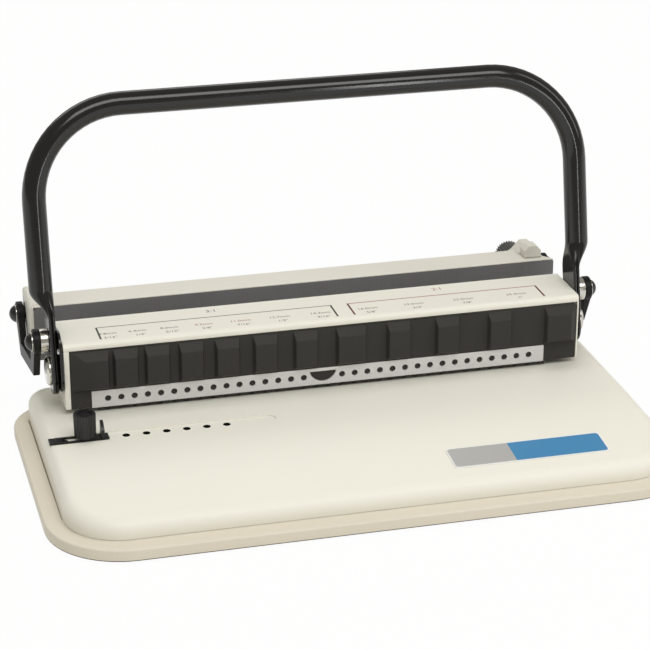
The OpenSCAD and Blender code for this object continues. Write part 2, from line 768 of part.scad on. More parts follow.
module gauge_panel() color([0.17, 0.165, 0.16]) difference() {
  union() {
    block([-panel_half, y_strip, z_head], [panel_right, y_strip + panel_t, z_panel]);
    for (i = [0:11]) gauge_block(i);
  }
  block([row_x - strip_l / 2 - fix_gap, y_strip - 1, z_head - 1],
    [row_x + strip_l / 2 + fix_gap, y_strip + strip_t, z_gauge + fix_gap]);
  block([-head_w, y_strip - 1, z_head - 1], [head_w, y_strip + 0.8, z_gauge]);
  panel_corner();
}

// The half-round notch: the lower part of a circle, cut off flat above
notch_r = (notch_w ^ 2 / 4 + notch_depth ^ 2) / (2 * notch_depth);
notch_z = z_row + 3.5;

module hole_strip() color([0.72, 0.71, 0.69]) difference() {
  block([row_x - strip_l / 2, y_strip, z_head], [row_x + strip_l / 2, y_strip + strip_t, z_gauge]);
  for (i = [0:hole_count - 1]) if (abs(i - (hole_count - 1) / 2) > 1)
    rod_y(y_strip - 1, y_strip + strip_t + 1, row_x - row_half + i * hole_pitch, z_row, hole_d);
  intersection() {
    rod_y(y_strip - 1, y_strip + strip_t + 1, row_x, notch_z - notch_depth + notch_r, 2 * notch_r);
    block([row_x - notch_w, y_strip - 2, z_head - 1], [row_x + notch_w, y_strip + strip_t + 2, notch_z]);
  }
}

// Screws that pin the punch guide down through the die plate
block_screw_x = guide_half - 2.6;
block_screw_y = guide_back - 1.8;

module punch_guide() color([0.60, 0.60, 0.62]) difference() {
  union() {
    block([-guide_half, guide_front, z_head], [guide_half, guide_back, z_head + guide_h]);
    block([-guide_half, y_punch + punch_d / 2 + 1.2, z_table], [guide_half, guide_back, z_head + eps]);
  }
  hole_row() translate([0, y_punch, z_head - 1]) cylinder(h = guide_h + 2, d = punch_d + 2 * run_gap);
  for (s = [-1, 1]) translate([s * block_screw_x, block_screw_y, z_table - 1])
    cylinder(h = 7, d = screw_d + 2 * fix_gap);
}

module guide_block_screws() color([0.70, 0.70, 0.72]) for (s = [-1, 1])
  screw_up(s * block_screw_x, block_screw_y, die_low, screw_d, die_h + 5);

module back_plate() color([0.92, 0.91, 0.85]) difference() {
  block([-panel_half, y_back_plate, z_table], [panel_half, y_head_back, z_top - cover_t]);
  for (s = [-1, 1]) rod_y(y_back_plate - 1, y_head_back + 1, s * rod_gap / 2, rod_z, rod_d + 2 * fix_gap);
}

module tie_rod() color([0.66, 0.66, 0.68]) difference() {
  rod_x(-side_in, side_in, tie_y, tie_z, tie_d);
  for (x = cover_screw_x) translate([x, cover_screw_y, tie_z - tie_d]) cylinder(h = 2 * tie_d, d = screw_d + 2 * fix_gap);
}

module spring_pins() color([0.70, 0.70, 0.72]) both_sides() translate([sleeve_x, sleeve_y, 0]) {
  translate([0, 0, z_side_foot]) cylinder(h = sleeve_top - sleeve_roof - stroke - 2 - z_side_foot, d = spring_pin_d);
  translate([0, 0, z_table + 0.2]) cylinder(h = side_foot_t, d = screw_d);
}

module closer_rods() color([0.74, 0.74, 0.76]) both_sides() {
  rod_y(rod_in, rod_back, rod_gap / 2, rod_z, rod_d);
  rod_y(rod_in, y_back_plate, rod_gap / 2, rod_z, rod_collar_d);
}

// A shallow drawer under the die plate, open above, that pulls out to the right
pull_in = 6;
pull_low = 2.5;
pull_t = 2.5;

module chip_drawer() color([0.30, 0.30, 0.31]) {
  difference() {
    block([drawer_left, drawer_y, drawer_low], [drawer_right, drawer_y + drawer_w, drawer_low + drawer_h]);
    block([drawer_left + drawer_wall, drawer_y + drawer_wall, drawer_low + drawer_wall],
      [drawer_right - table_skin - 1, drawer_y + drawer_w - drawer_wall, drawer_low + drawer_h + 1]);
  }
  block([drawer_right - drawer_wall, drawer_y + pull_in, drawer_low + pull_low],
    [drawer_right + pull_reach, drawer_y + drawer_w - pull_in, drawer_low + pull_low + pull_t]);
}

// Moves what is drawn along the raised handle's leg to its place on the main shaft
module on_handle() {
  translate([-handle_left, pivot_y, pivot_z]) rotate([-lean, 0, 0]) children();
}

// One leg of the handle: its flattened end, the stretch where it flattens, and the round tube
module handle_leg() {
  difference() {
    union() {
      rod_x(flat_in, flat_out, 0, -flat_end, flat_w);
      block([flat_in, -flat_w / 2, -flat_end], [flat_out, flat_w / 2, flat_l]);
    }
    rod_x(flat_in - 1, flat_out + 1, 0, 0, pivot_shank_d + 2 * fix_gap);
    rod_x(flat_in - 1, flat_out + 1, 0, link_arm, link_bolt_d + 2 * fix_gap);
  }
  hull() {
    block([flat_in, -flat_w / 2, flat_l - eps], [flat_out, flat_w / 2, flat_l]);
    translate([leg_x, 0, flat_l + taper_l]) cylinder(h = eps, d = tube_d, $fn = 32);
  }
  translate([leg_x, 0, flat_l + taper_l]) cylinder(h = handle_reach - bend_tube_r - flat_l - taper_l, d = tube_d);
  translate([leg_x - bend_tube_r, 0, handle_reach - bend_tube_r]) rotate([90, 0, 0])
    rotate_extrude(angle = 90) translate([bend_tube_r, 0]) circle(d = tube_d);
}

module handle_tube() color([0.07, 0.07, 0.07]) on_handle() {
  both_sides() handle_leg();
  rod_x(-leg_x + bend_tube_r, leg_x - bend_tube_r, 0, handle_reach, tube_d);
}

// A plate in the gap between the left leg and the head's side plate, held on the main shaft by the leg
hub_gap = 0.5;
hub_t = free_gap + handle_left - hub_gap;
hub_in = -flat_in + hub_t;
rivet_y = -flat_w / 2 - rivet_d / 2 - 0.7;
rivet_h = 0.9;

module hub_outline() {
  translate([hub_r - hub_front, -hub_down]) square([hub_front + hub_rear - 2 * hub_r, hub_up + hub_down]);
  translate([-hub_front, hub_r - hub_down]) square([hub_front + hub_rear, hub_up + hub_down - 2 * hub_r]);
  for (y = [hub_r - hub_front, hub_rear - hub_r]) for (z = [hub_r - hub_down, hub_up - hub_r])
    translate([y, z]) circle(r = hub_r);
}

module hub_plate() color([0.07, 0.07, 0.07]) on_handle() difference() {
  along_x(-flat_in, hub_in) hub_outline();
  rod_x(-flat_in - 1, hub_in + 1, 0, 0, shaft_d + 2 * fix_gap);
  rod_x(-flat_in - 1, hub_in + 1, rivet_y, rivet_up, rivet_d / 2 + 2 * fix_gap);
}

module hub_rivet() color([0.75, 0.75, 0.76]) on_handle() {
  rod_x(-flat_in - eps, hub_in, rivet_y, rivet_up, rivet_d / 2);
  translate([-flat_in, rivet_y, rivet_up]) rotate([0, -90, 0]) cylinder(h = rivet_h, d1 = rivet_d, d2 = rivet_d - 1.4);
}

// The pivot bolts screw into the main shaft's ends
pivot_shank_d = 6;
pivot_shank_l = 12;

module main_shaft() color([0.70, 0.70, 0.72]) translate([-handle_left, 0, 0]) difference() {
  rod_x(-flat_in, flat_in, pivot_y, pivot_z, shaft_d);
  both_sides() rod_x(flat_out - pivot_shank_l - 0.5, flat_in + 1, pivot_y, pivot_z, pivot_shank_d + 2 * fix_gap);
}

// A cam whose radius grows steadily with the handle's swing, measured from straight down
function cam_radius(a) = a <= swing + cam_lobe ? cam_r + stroke * a / swing
  : max(cam_r, cam_r + stroke * (1 + cam_lobe / swing) * (1 - (a - swing - cam_lobe) / cam_fall));
cam_points = [for (a = [0:4:swing + cam_lobe + cam_fall]) [-cam_radius(a) * sin(a), -cam_radius(a) * cos(a)]];

module drive_cams() color([0.50, 0.50, 0.52]) translate([-handle_left, pivot_y, pivot_z]) both_sides() difference() {
  along_x(cam_x, cam_x + cam_w) union() {
    circle(r = cam_r);
    polygon(concat([[0, 0]], cam_points));
  }
  rod_x(cam_x - 1, cam_x + cam_w + 1, 0, 0, shaft_d + 2 * fix_gap);
}

// A flat crowned head and its shank
module pivot_bolts() color([0.80, 0.79, 0.76]) translate([-handle_left, pivot_y, pivot_z]) both_sides() {
  rod_x(flat_out - pivot_shank_l, flat_out + eps, 0, 0, pivot_shank_d);
  translate([flat_out, 0, 0]) rotate([0, 90, 0]) {
    cylinder(h = pivot_head_h / 2, d = pivot_head_d);
    translate([0, 0, pivot_head_h / 2]) cylinder(h = pivot_head_h / 2, d1 = pivot_head_d, d2 = pivot_head_d - 4);
  }
}

// What sits on the bolt that joins a link to the handle
module on_handle_bolt() {
  translate([-handle_left, bolt_y, bolt_z]) both_sides() children();
}

module link_spacers() color([0.78, 0.76, 0.70]) on_handle_bolt() difference() {
  rod_x(flat_out, flat_out + spacer_l, 0, 0, spacer_d);
  rod_x(flat_out - 1, flat_out + spacer_l + 1, 0, 0, link_bolt_d + 2 * fix_gap);
}

// A domed bolt along X with its head outside: shank from x0, head seated at x1
module dome_bolt(x0, x1) {
  ball_r = (dome_d ^ 2 / 4 + dome_h ^ 2) / (2 * dome_h);
  rotate([0, 90, 0]) rotate_extrude() {
    translate([0, x0]) square([link_bolt_d / 2, x1 - x0 + eps]);
    intersection() {
      translate([0, x1 + dome_h - ball_r]) circle(r = ball_r);
      translate([0, x1]) square([dome_d, dome_h + 1]);
    }
  }
}

// A washer under a domed head
module dome_washer() difference() {
  rod_x(washer_in, washer_in + washer_t, 0, 0, dome_d + 1);
  rod_x(washer_in - 1, washer_in + washer_t + 1, 0, 0, link_bolt_d + 2 * fix_gap);
}

module handle_bolts() color([0.12, 0.12, 0.12]) on_handle_bolt() dome_bolt(flat_in, dome_in);

module handle_washers() color([0.80, 0.80, 0.80]) on_handle_bolt() dome_washer();

// One end arm of the punch bar: a drop leg, a pad under the cam and a spring sleeve
module bar_arm() difference() {
  union() {
    block([arm_x, bar_front, z_arm - arm_h], [arm_x + arm_t, bar_front + bar_t, z_bar + bar_h]);
    block([arm_x, bar_front, z_arm - arm_h], [arm_out, sleeve_y, z_arm]);
    translate([sleeve_x, sleeve_y, z_arm - arm_h]) cylinder(h = sleeve_top - z_arm + arm_h, d = sleeve_d);
  }
  translate([sleeve_x, sleeve_y, z_arm - arm_h - 1])
    cylinder(h = sleeve_top - sleeve_roof - z_arm + arm_h + 1, d = sleeve_d - 2 * sleeve_wall);
}
bar_front = y_punch - bar_t / 2;

module punch_bar() color([0.58, 0.58, 0.60]) {
  block([-arm_x - eps, bar_front, z_bar], [arm_x + eps, bar_front + bar_t, z_bar + bar_h]);
  both_sides() bar_arm();
}

module punches() color([0.68, 0.68, 0.70]) hole_row() translate([0, y_punch, z_head + 0.7])
  cylinder(h = z_bar - z_head - 0.7, d = punch_d);

// A wire spring along Z, one unbroken tube of six sides that follows a helix
spring_rings = 8;
spring_sides = 6;
spring_low = z_side_foot + spring_wire / 2 + face_gap;
spring_high = sleeve_top - sleeve_roof - spring_wire / 2 - face_gap;
function spring_ring(i, n) = let (a = 360 * spring_turns * i / n, z = spring_low + (spring_high - spring_low) * i / n)
  [for (k = [0:spring_sides - 1]) let (b = 360 * k / spring_sides, q = spring_r + spring_wire / 2 * cos(b))
    [q * cos(a), q * sin(a), z + spring_wire / 2 * sin(b)]];

module wire_spring() {
  n = spring_turns * spring_rings;
  m = spring_sides;
  rings = [for (i = [0:n]) each spring_ring(i, n)];
  walls = [for (i = [0:n - 1], k = [0:m - 1]) each [
    [i * m + k, (i + 1) * m + k, (i + 1) * m + (k + 1) % m], [i * m + k, (i + 1) * m + (k + 1) % m, i * m + (k + 1) % m]]];
  low_cap = [for (k = [1:m - 2]) [0, k, k + 1]];
  high_cap = [for (k = [1:m - 2]) [n * m, n * m + k + 1, n * m + k]];
  polyhedron(points = rings, faces = concat(walls, low_cap, high_cap));
}
echo("least gap between spring turns", (spring_high - spring_low) / spring_turns - spring_wire);

module return_springs() color([0.75, 0.75, 0.77]) for (s = [-1, 1]) translate([s * sleeve_x, sleeve_y, 0]) wire_spring();

// A side link: two eyes on a plate that dips between them
link_low = [[bolt_y + 5, bolt_z - link_drop_front], [eye_y - 1.5 * link_eye_r, eye_z - link_drop_rear]];

module link_plate() difference() {
  along_x(link_in, link_out) union() {
    translate([bolt_y, bolt_z]) circle(r = link_eye_r);
    translate([eye_y, eye_z]) circle(r = link_eye_r);
    polygon([[bolt_y - link_eye_r, bolt_z], link_low[0], link_low[1], [eye_y + link_eye_r, eye_z],
      [eye_y - link_eye_r, eye_z], link_low[1] + link_bar * [-0.4, 1], link_low[0] + link_bar * [1.1, 0.65],
      [bolt_y + link_eye_r, bolt_z]]);
  }
  rod_x(link_in - 1, link_out + 1, bolt_y, bolt_z, link_bolt_d + 2 * run_gap);
  rod_x(link_in - 1, link_out + 1, eye_y, eye_z, link_bolt_d + 2 * fix_gap);
}

// The bolt at a link's rear eye, its end in a roomy pocket of the closer's cheek
module closer_bolt() translate([0, eye_y, eye_z]) dome_bolt(eye_shank_in, dome_in - face_gap);

module closer_washer() translate([-face_gap, eye_y, eye_z]) dome_washer();

// Moves a piece of the right or the left link along with the handle's side play
module right_link() translate([-handle_left, 0, 0]) children();

module left_link() translate([-handle_left, 0, 0]) mirror([1, 0, 0]) children();

module link_right() color([0.10, 0.10, 0.10]) right_link() link_plate();

module link_left() color([0.10, 0.10, 0.10]) left_link() link_plate();

module closer_bolt_right() color([0.12, 0.12, 0.12]) right_link() closer_bolt();

module closer_bolt_left() color([0.12, 0.12, 0.12]) left_link() closer_bolt();

module closer_washer_right() color([0.80, 0.80, 0.80]) right_link() closer_washer();

module closer_washer_left() color([0.80, 0.80, 0.80]) left_link() closer_washer();

// The closer's cover: a flat top, bevelled at its right end, that turns down behind
module closer_cover() color([0.92, 0.91, 0.85]) difference() {
  union() {
    translate([0, 0, z_closer - closer_skin]) linear_extrude(closer_skin) polygon([[-bar_left, y_closer],
      [closer_w / 2, y_closer], [beam_half, y_closer + cover_bevel], [beam_half, y_tower], [-beam_half, y_tower],
      [-beam_half, y_beam], [-bar_left, y_beam]]);
    block([-beam_half, y_tower - closer_skin, z_closer_low + beam_h], [beam_half, y_tower, z_closer - eps]);
  }
  rod_y(y_tower - closer_skin - 1, y_tower + 1, wheel_x, wheel_z, adjust_d + 4 * run_gap);
}

// The bar that presses on the wire
module closer_bar() color([0.32, 0.32, 0.33]) difference() {
  block([-bar_left, y_closer, z_closer_low], [closer_w / 2, y_beam, z_closer - closer_skin]);
  for (s = [-1, 1]) rod_y(y_closer - 1, y_beam + 1, s * rod_gap / 2, rod_z, rod_d + 1);
}

// The roomy pocket in a cheek for the end of the link's bolt
module cheek_pocket() rod_x(closer_w / 2 - cheek_pocket_l, cheek_left + 1, eye_y, eye_z, cheek_pocket_d);

// The left end runs the whole depth of the closer, with a thin lip beside the bar
module closer_cheek_left() color([0.92, 0.91, 0.85]) mirror([1, 0, 0]) difference() {
  union() {
    block([beam_half, y_beam, z_closer_low], [cheek_left, y_closer_back, z_closer]);
    block([bar_left, y_closer, z_closer_low], [cheek_left, y_beam + eps, z_closer]);
  }
  cheek_pocket();
}

// The right end stops short of the tower and is lower
module closer_cheek_right() color([0.92, 0.91, 0.85]) difference() {
  block([beam_half, y_beam, z_closer_low], [closer_w / 2, eye_y + cheek_round, eye_z + cheek_round]);
  cheek_pocket();
}
cheek_round = cheek_pocket_d / 2 + 1.6;

module closer_beam() color([0.60, 0.60, 0.62]) difference() {
  block([-beam_half, y_beam, z_closer_low], [beam_half, y_tower, z_closer_low + beam_h]);
  for (s = [-1, 1]) rod_y(y_beam - 1, y_tower + 1, s * rod_gap / 2, rod_z, rod_d + 2 * bush_wall);
}

module rod_bushes() color([0.72, 0.58, 0.32]) both_sides() difference() {
  rod_y(y_beam, y_tower, rod_gap / 2, rod_z, rod_d + 2 * bush_wall - 2 * fix_gap);
  rod_y(y_beam - 1, y_tower + 1, rod_gap / 2, rod_z, rod_d + 2 * run_gap);
}

// A plate behind the closer that carries the wheel, and an octagonal boss on the closer's top
tower_side = 9.3;
tower_left = wheel_x - tower_side;
tower_right = beam_half;
tower_slope = 5.6;
tower_foot = -2;
boss_side = 6.2;
boss_x = wheel_x + boss_side;
boss_up = 2.6;
y_boss = y_closer + boss_back;
tower_top = [[wheel_x + tower_foot, z_closer], [wheel_x + tower_foot + tower_slope, z_closer + tower_up],
  [tower_right - 5, z_closer + tower_up], [tower_right, z_closer + tower_up - 4]];

module adjuster_tower() color([0.92, 0.91, 0.85]) difference() {
  union() {
    translate([0, y_tower + tower_t, 0]) rotate([90, 0, 0]) linear_extrude(tower_t) polygon(concat(
      [[tower_left, z_closer - 2 * wheel_down], [tower_left, z_closer - 5]], tower_top,
      [[tower_right, z_closer - 2 * wheel_down]]));
    translate([0, y_tower + eps, 0]) rotate([90, 0, 0]) linear_extrude(y_tower + eps - y_boss - boss_l)
      polygon(concat(tower_top, [[tower_right, z_closer]]));
    intersection() {
      translate([boss_x, y_boss + boss_l + 1, z_closer + boss_up]) rotate([90, 0, 0]) rotate([0, 0, 22.5])
        cylinder(h = boss_l + 1, d = boss_w / cos(22.5), $fn = 8);
      block([0, y_closer, z_closer], [base_w, y_closer_back, 2 * z_top]);
    }
  }
  rod_y(y_tower - 1, y_tower + tower_t + 1, wheel_x, wheel_z, adjust_d + 2 * run_gap);
}

adjust_in = 10;

module adjusting_wheel() color([0.13, 0.13, 0.13]) difference() {
  rod_y(y_wheel, y_wheel + wheel_w, wheel_x, wheel_z, wheel_d);
  rod_y(y_wheel - 1, y_wheel + wheel_w + 1, wheel_x, wheel_z, adjust_d + 2 * fix_gap);
  translate([wheel_x, 0, wheel_z]) for (i = [0:wheel_grooves - 1]) rotate([0, i * 360 / wheel_grooves, 0])
    rod_y(y_wheel - 1, y_wheel + wheel_w + 1, 0, wheel_d / 2 + 0.15, 1);
}

module adjusting_screw() color([0.70, 0.70, 0.72]) {
  rod_y(y_tower - adjust_in, y_wheel + wheel_w + 1, wheel_x, wheel_z, adjust_d);
  rod_y(y_tower - adjust_in, y_tower - closer_skin - 0.3, wheel_x, wheel_z, 2 * (wheel_down - closer_skin) - 0.4);
}

// The guide bar in its track, with a slot for the knob's screw and an upright fin for the paper's edge
fin_in = 2.8;
fin_gap = 0.4;
guide_right = -knob_x + guide_travel_left + knob_d / 2 + fin_gap + fin_t + fin_in;
z_track = z_table - track_depth;
z_guide = z_track + guide_t;

module edge_guide() color([0.12, 0.12, 0.12]) {
  difference() {
    block([guide_right - guide_l, y_track - guide_w / 2, z_track + face_gap], [guide_right, y_track + guide_w / 2, z_guide]);
    translate([-knob_x, y_track, z_track - 1]) {
      translate([-guide_travel_right, 0, 0]) cylinder(h = guide_t + 2, d = guide_slot_w);
      translate([guide_travel_left, 0, 0]) cylinder(h = guide_t + 2, d = guide_slot_w);
      translate([-guide_travel_right, -guide_slot_w / 2, 0])
        cube([guide_travel_right + guide_travel_left, guide_slot_w, guide_t + 2]);
    }
  }
  along_x(guide_right - fin_in - fin_t, guide_right - fin_in) intersection() {
    translate([y_track + guide_w / 2, z_guide - eps]) circle(r = fin_h);
    translate([y_track + guide_w / 2 - fin_h, z_guide - eps]) square(fin_h);
    translate([y_track - guide_w / 2, z_guide - eps]) square([guide_w, fin_h]);
  }
}

// A ribbed knob with a stepped top, on the screw that clamps the guide
knob_ring = 1.5;

module guide_knob() color([0.14, 0.14, 0.14]) translate([-knob_x, y_track, z_guide + face_gap]) {
  difference() {
    cylinder(h = knob_h, d = knob_d);
    for (i = [0:23]) rotate([0, 0, i * 15]) translate([knob_d / 2 + 0.2, 0, -1]) cylinder(h = knob_h - 1, d = 1.2);
    translate([0, 0, knob_h - 0.8]) difference() {
      cylinder(h = 1, d = knob_d - 2 * knob_ring);
      cylinder(h = 0.5, d = knob_d - 4 * knob_ring);
    }
  }
  translate([0, 0, -guide_t - table_skin - 4]) cylinder(h = guide_t + table_skin + 4 + eps, d = knob_screw_d);
}

base_tray();
rubber_feet();
base_screws();
drawer_runners();
table_cover();
die_plate();
die_screws();
label_plate();
side_plate_left();
side_plate_right();
side_plate_screws();
shaft_bushes();
head_cover();
cover_screws();
gauge_panel();
hole_strip();
punch_guide();
guide_block_screws();
back_plate();
tie_rod();
spring_pins();
closer_rods();
chip_drawer();
handle_tube();
hub_plate();
hub_rivet();
main_shaft();
drive_cams();
pivot_bolts();
link_spacers();
handle_bolts();
handle_washers();
punch_bar();
punches();
return_springs();
link_left();
link_right();
closer_bolt_left();
closer_bolt_right();
closer_washer_left();
closer_washer_right();
closer_cover();
closer_bar();
closer_cheek_left();
closer_cheek_right();
closer_beam();
rod_bushes();
adjuster_tower();
adjusting_wheel();
adjusting_screw();
edge_guide();
guide_knob();
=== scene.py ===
# %% [markdown]
# # A manual wire binding machine
# The machine punches a row of holes along a sheet of paper, and its closer squeezes a wire comb shut behind the head.
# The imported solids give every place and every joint. This lesson dresses them: painted sheet metal, moulded plastic,
# a bent tube handle and bright hardware, each piece on the body that carries it.

# %% Load the frame and keep its box
import json
import math

import bmesh
import bpy
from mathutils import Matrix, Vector


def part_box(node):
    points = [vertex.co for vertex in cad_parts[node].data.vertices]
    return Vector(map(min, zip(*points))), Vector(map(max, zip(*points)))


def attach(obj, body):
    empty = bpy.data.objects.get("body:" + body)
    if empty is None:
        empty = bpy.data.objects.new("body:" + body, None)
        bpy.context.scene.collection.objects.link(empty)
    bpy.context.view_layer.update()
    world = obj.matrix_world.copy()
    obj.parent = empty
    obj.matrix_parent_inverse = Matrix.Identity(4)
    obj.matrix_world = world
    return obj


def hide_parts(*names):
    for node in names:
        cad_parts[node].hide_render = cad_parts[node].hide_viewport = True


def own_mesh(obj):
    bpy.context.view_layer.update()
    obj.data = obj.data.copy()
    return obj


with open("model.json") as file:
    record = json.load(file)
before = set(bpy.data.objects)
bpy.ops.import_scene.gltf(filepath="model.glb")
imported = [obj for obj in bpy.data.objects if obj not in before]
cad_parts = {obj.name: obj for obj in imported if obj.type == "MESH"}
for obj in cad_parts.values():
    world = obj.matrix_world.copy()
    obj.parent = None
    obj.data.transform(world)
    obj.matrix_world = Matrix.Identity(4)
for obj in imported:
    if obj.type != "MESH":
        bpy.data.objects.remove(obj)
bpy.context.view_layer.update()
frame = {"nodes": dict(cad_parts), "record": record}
slot_of = {part["node"]: part["material_slot"] for part in frame["record"]["subparts"]}
joints = {joint["name"]: joint for joint in frame["record"]["behaviour"]["joints"]}

# %% [markdown]
# ## Camera
# The photograph was taken from the left, a little above the machine, with a long lens. The camera could be nudged by
# eye, but its place was worked out from the row of evenly spaced holes, so it is simply written down here.

# %% Camera
PHOTO_SIZE = 650
FOCAL_PIXELS = 2265
SENSOR = 36
camera_data = bpy.data.cameras.new("photo_camera")
camera_data.sensor_width = SENSOR
camera_data.lens = SENSOR * FOCAL_PIXELS / PHOTO_SIZE
camera = bpy.data.objects.new("photo_camera", camera_data)
camera.location = (-0.3369, -1.2736, 0.6210)
camera.rotation_euler = (math.radians(90 - 22.38), 0, math.radians(-14.51))
bpy.context.scene.collection.objects.link(camera)
bpy.context.scene.camera = camera
print("lens", round(camera_data.lens, 1), "mm")

# %% [markdown]
# ## Light and floor
# A packshot has a large soft lamp in front and another overhead, which leaves a soft shadow in front of the head. A
# narrow lamp draws a line of light down the tube, and weak ones stand at the right and at the back. The floor could
# simply be overlit until it is white, but that would bleach the cream paint. Instead the camera sees the floor and the
# world as white through the Light Path node, while the lamps stay at a plain level and the surround is a warm white.

# %% Lamps


def lamp(name, place, target, size, watts, colour, mirrored=True):
    data = bpy.data.lights.new(name, "AREA")
    data.shape = "RECTANGLE"
    data.size, data.size_y = size
    data.energy = watts
    data.color = colour
    holder = bpy.data.objects.new(name, data)
    holder.location = place
    holder.visible_glossy = mirrored
    holder.rotation_euler = (Vector(target) - Vector(place)).to_track_quat("-Z", "Y").to_euler()
    bpy.context.scene.collection.objects.link(holder)
    print("lamp", name, watts, "W")


HEAD_MIDDLE = (0, 0.02, 0.05)
lamp("key_lamp", (0.1, -1.4, 2.1), HEAD_MIDDLE, (2.25, 1.06), 27.5, (1, 0.995, 0.985))
lamp("top_lamp", (-0.1, 0.5, 2.45), HEAD_MIDDLE, (2.25, 0.9), 18, (1, 0.995, 0.985), mirrored=False)
lamp("strip_lamp", (0.45, -1.35, 0.34), HEAD_MIDDLE, (0.1, 0.6), 1.6, (1, 1, 1))
lamp("side_lamp", (1.5, -0.6, 1.0), HEAD_MIDDLE, (0.4, 1.4), 4, (1, 1, 1))
lamp("back_lamp", (-0.2, 1.5, 1.1), HEAD_MIDDLE, (1.6, 0.6), 4, (1, 1, 1))

# %% [markdown]
# ## Shader maths in plain expressions
# A finish is a colour, a roughness and a little relief that all change over the surface. Wiring such maths by hand
# takes many Math nodes. A small class that answers to + and * adds them for us, and one method makes any other node
# from its type, its settings and its sockets.

# %% Socket arithmetic and finishes


class Socket:
    """An output socket that adds a Math node when it is used in an expression."""

    def __init__(self, finish, out):
        self.finish, self.out = finish, out

    def math(self, operation, first, second):
        return self.finish.node("ShaderNodeMath", {"operation": operation}, {0: first, 1: second})

    def __add__(self, other):
        return self.math("ADD", self, other)

    def __radd__(self, other):
        return self.math("ADD", other, self)

    def __mul__(self, other):
        return self.math("MULTIPLY", self, other)

    def __rmul__(self, other):
        return self.math("MULTIPLY", other, self)


class Finish:
    """A material on the Principled shader, read in Object coordinates."""

    def __init__(self, name, **constants):
        self.material = bpy.data.materials.new(name)
        self.material.use_nodes = True
        self.tree = self.material.node_tree
        self.shader = self.tree.nodes["Principled BSDF"]
        self.place = self.node("ShaderNodeTexCoord", out="Object")
        for socket, value in constants.items():
            self.shader.inputs[socket.replace("_", " ")].default_value = value

    def node(self, kind, settings=None, sockets=None, out=0):
        made = self.tree.nodes.new(kind)
        for key, value in (settings or {}).items():
            setattr(made, key, value)
        for key, value in (sockets or {}).items():
            if isinstance(value, Socket):
                self.tree.links.new(value.out, made.inputs[key])
            else:
                made.inputs[key].default_value = value
        return Socket(self, made.outputs[out])

    def noise(self, scale, detail=2, stretch=None):
        place = self.place
        if stretch:
            place = self.node("ShaderNodeMapping", None, {"Vector": place, "Scale": stretch})
        return self.node("ShaderNodeTexNoise", None, {"Vector": place, "Scale": scale, "Detail": detail})

    def step(self, value, low, high):
        ends = {"Value": value, "From Min": low, "From Max": high}
        return self.node("ShaderNodeMapRange", {"clamp": True}, ends)

    def blend(self, factor, first, second):
        return self.node("ShaderNodeMix", {"data_type": "RGBA"}, {0: factor, 6: first, 7: second}, out=2)

    def feed(self, socket, value):
        self.tree.links.new(value.out, self.shader.inputs[socket])

    def relief(self, height, depth):
        bump = self.node("ShaderNodeBump", None, {"Strength": 1, "Distance": depth, "Height": height})
        self.feed("Normal", bump)


def shade(colour, amount):
    return tuple(min(1, part * amount) for part in colour) + (1,)


print("finishes are ready to mix")

# %% [markdown]
# ## Paint, plastic and rubber
# The cream sheet metal has a baked powder coat: a fine orange peel, and a tone that drifts slightly over a hand's
# width. The gauge and the knob are moulded plastic with a spark-eroded grain. Both could be one formula with other
# numbers, so one function makes every finish that has no direction.

# %% Even finishes


def even_finish(name, colour, rough, drift=0.03, peel=700, depth=0.00002, fleck=0.05, **constants):
    finish = Finish(name, **constants)
    cloud = finish.noise(9, 3)
    speck = finish.noise(2600, 1)
    tone = finish.blend(cloud, shade(colour, 1 - drift), shade(colour, 1 + drift))
    flecks = finish.step(speck, 0.62, 0.75) * fleck
    finish.feed("Base Color", finish.blend(flecks, tone, shade(colour, 0.55)))
    grain = finish.noise(peel, 2)
    finish.feed("Roughness", rough - 0.06 + 0.08 * cloud + 0.05 * grain)
    finish.relief(grain + 0.25 * speck, depth)
    print("finish", name)
    return finish.material


CREAM = (0.815, 0.795, 0.713)
finishes = {
    "cream_paint": even_finish(
        "cream_powder_coat", CREAM, 0.4, 0.015, 620, 0.00003, 0.03, Specular_IOR_Level=0.3
    ),
    "rim_paint": even_finish("sand_powder_coat", (0.70, 0.65, 0.54), 0.44, 0.03, 560, 0.000015, 0.04),
    "gauge_plastic": even_finish(
        "charcoal_moulding", (0.042, 0.040, 0.037), 0.5, 0.06, 1500, 0.000012, 0.1, Specular_IOR_Level=0.12
    ),
    "dark_plastic": even_finish("black_moulding", (0.010, 0.010, 0.0105), 0.32, 0.1, 1300, 0.00001, 0.06),
    "closer_grey": even_finish("slate_paint", (0.16, 0.16, 0.168), 0.42, 0.05, 900, 0.00001, 0.08),
    "rubber": even_finish("black_rubber", (0.02, 0.02, 0.02), 0.75, 0.1, 1200, 0.00004, 0.1),
    "gloss_black": even_finish(
        "black_enamel", (0.006, 0.0056, 0.005), 0.14, 0.2, 180, 0.0000015, 0.01, Specular_IOR_Level=0.55
    ),
    "black_bolt": even_finish("black_oxide", (0.010, 0.010, 0.010), 0.28, 0.15, 900, 0.000006, 0.03),
}

# %% [markdown]
# ## Bare metal
# Plated hardware is bright and smooth with faint turning marks, while the hole strip is brushed along its length. The
# marks are noise that is stretched far along one axis, so the same formula serves every metal.

# %% Brushed and plated metal


def brushed_finish(name, colour, rough, along, metal=1.0, streak=0.12, depth=0.000004):
    finish = Finish(name, Metallic=metal)
    stretch = [260, 260, 260]
    stretch["xyz".index(along)] = 3
    lines = finish.noise(9, 3, tuple(stretch))
    cloud = finish.noise(30, 2)
    finish.feed("Base Color", finish.blend(lines, shade(colour, 1 - streak), shade(colour, 1 + streak)))
    finish.feed("Roughness", rough - 0.05 + 0.08 * lines + 0.06 * cloud)
    finish.relief(lines, depth)
    print("finish", name)
    return finish.material


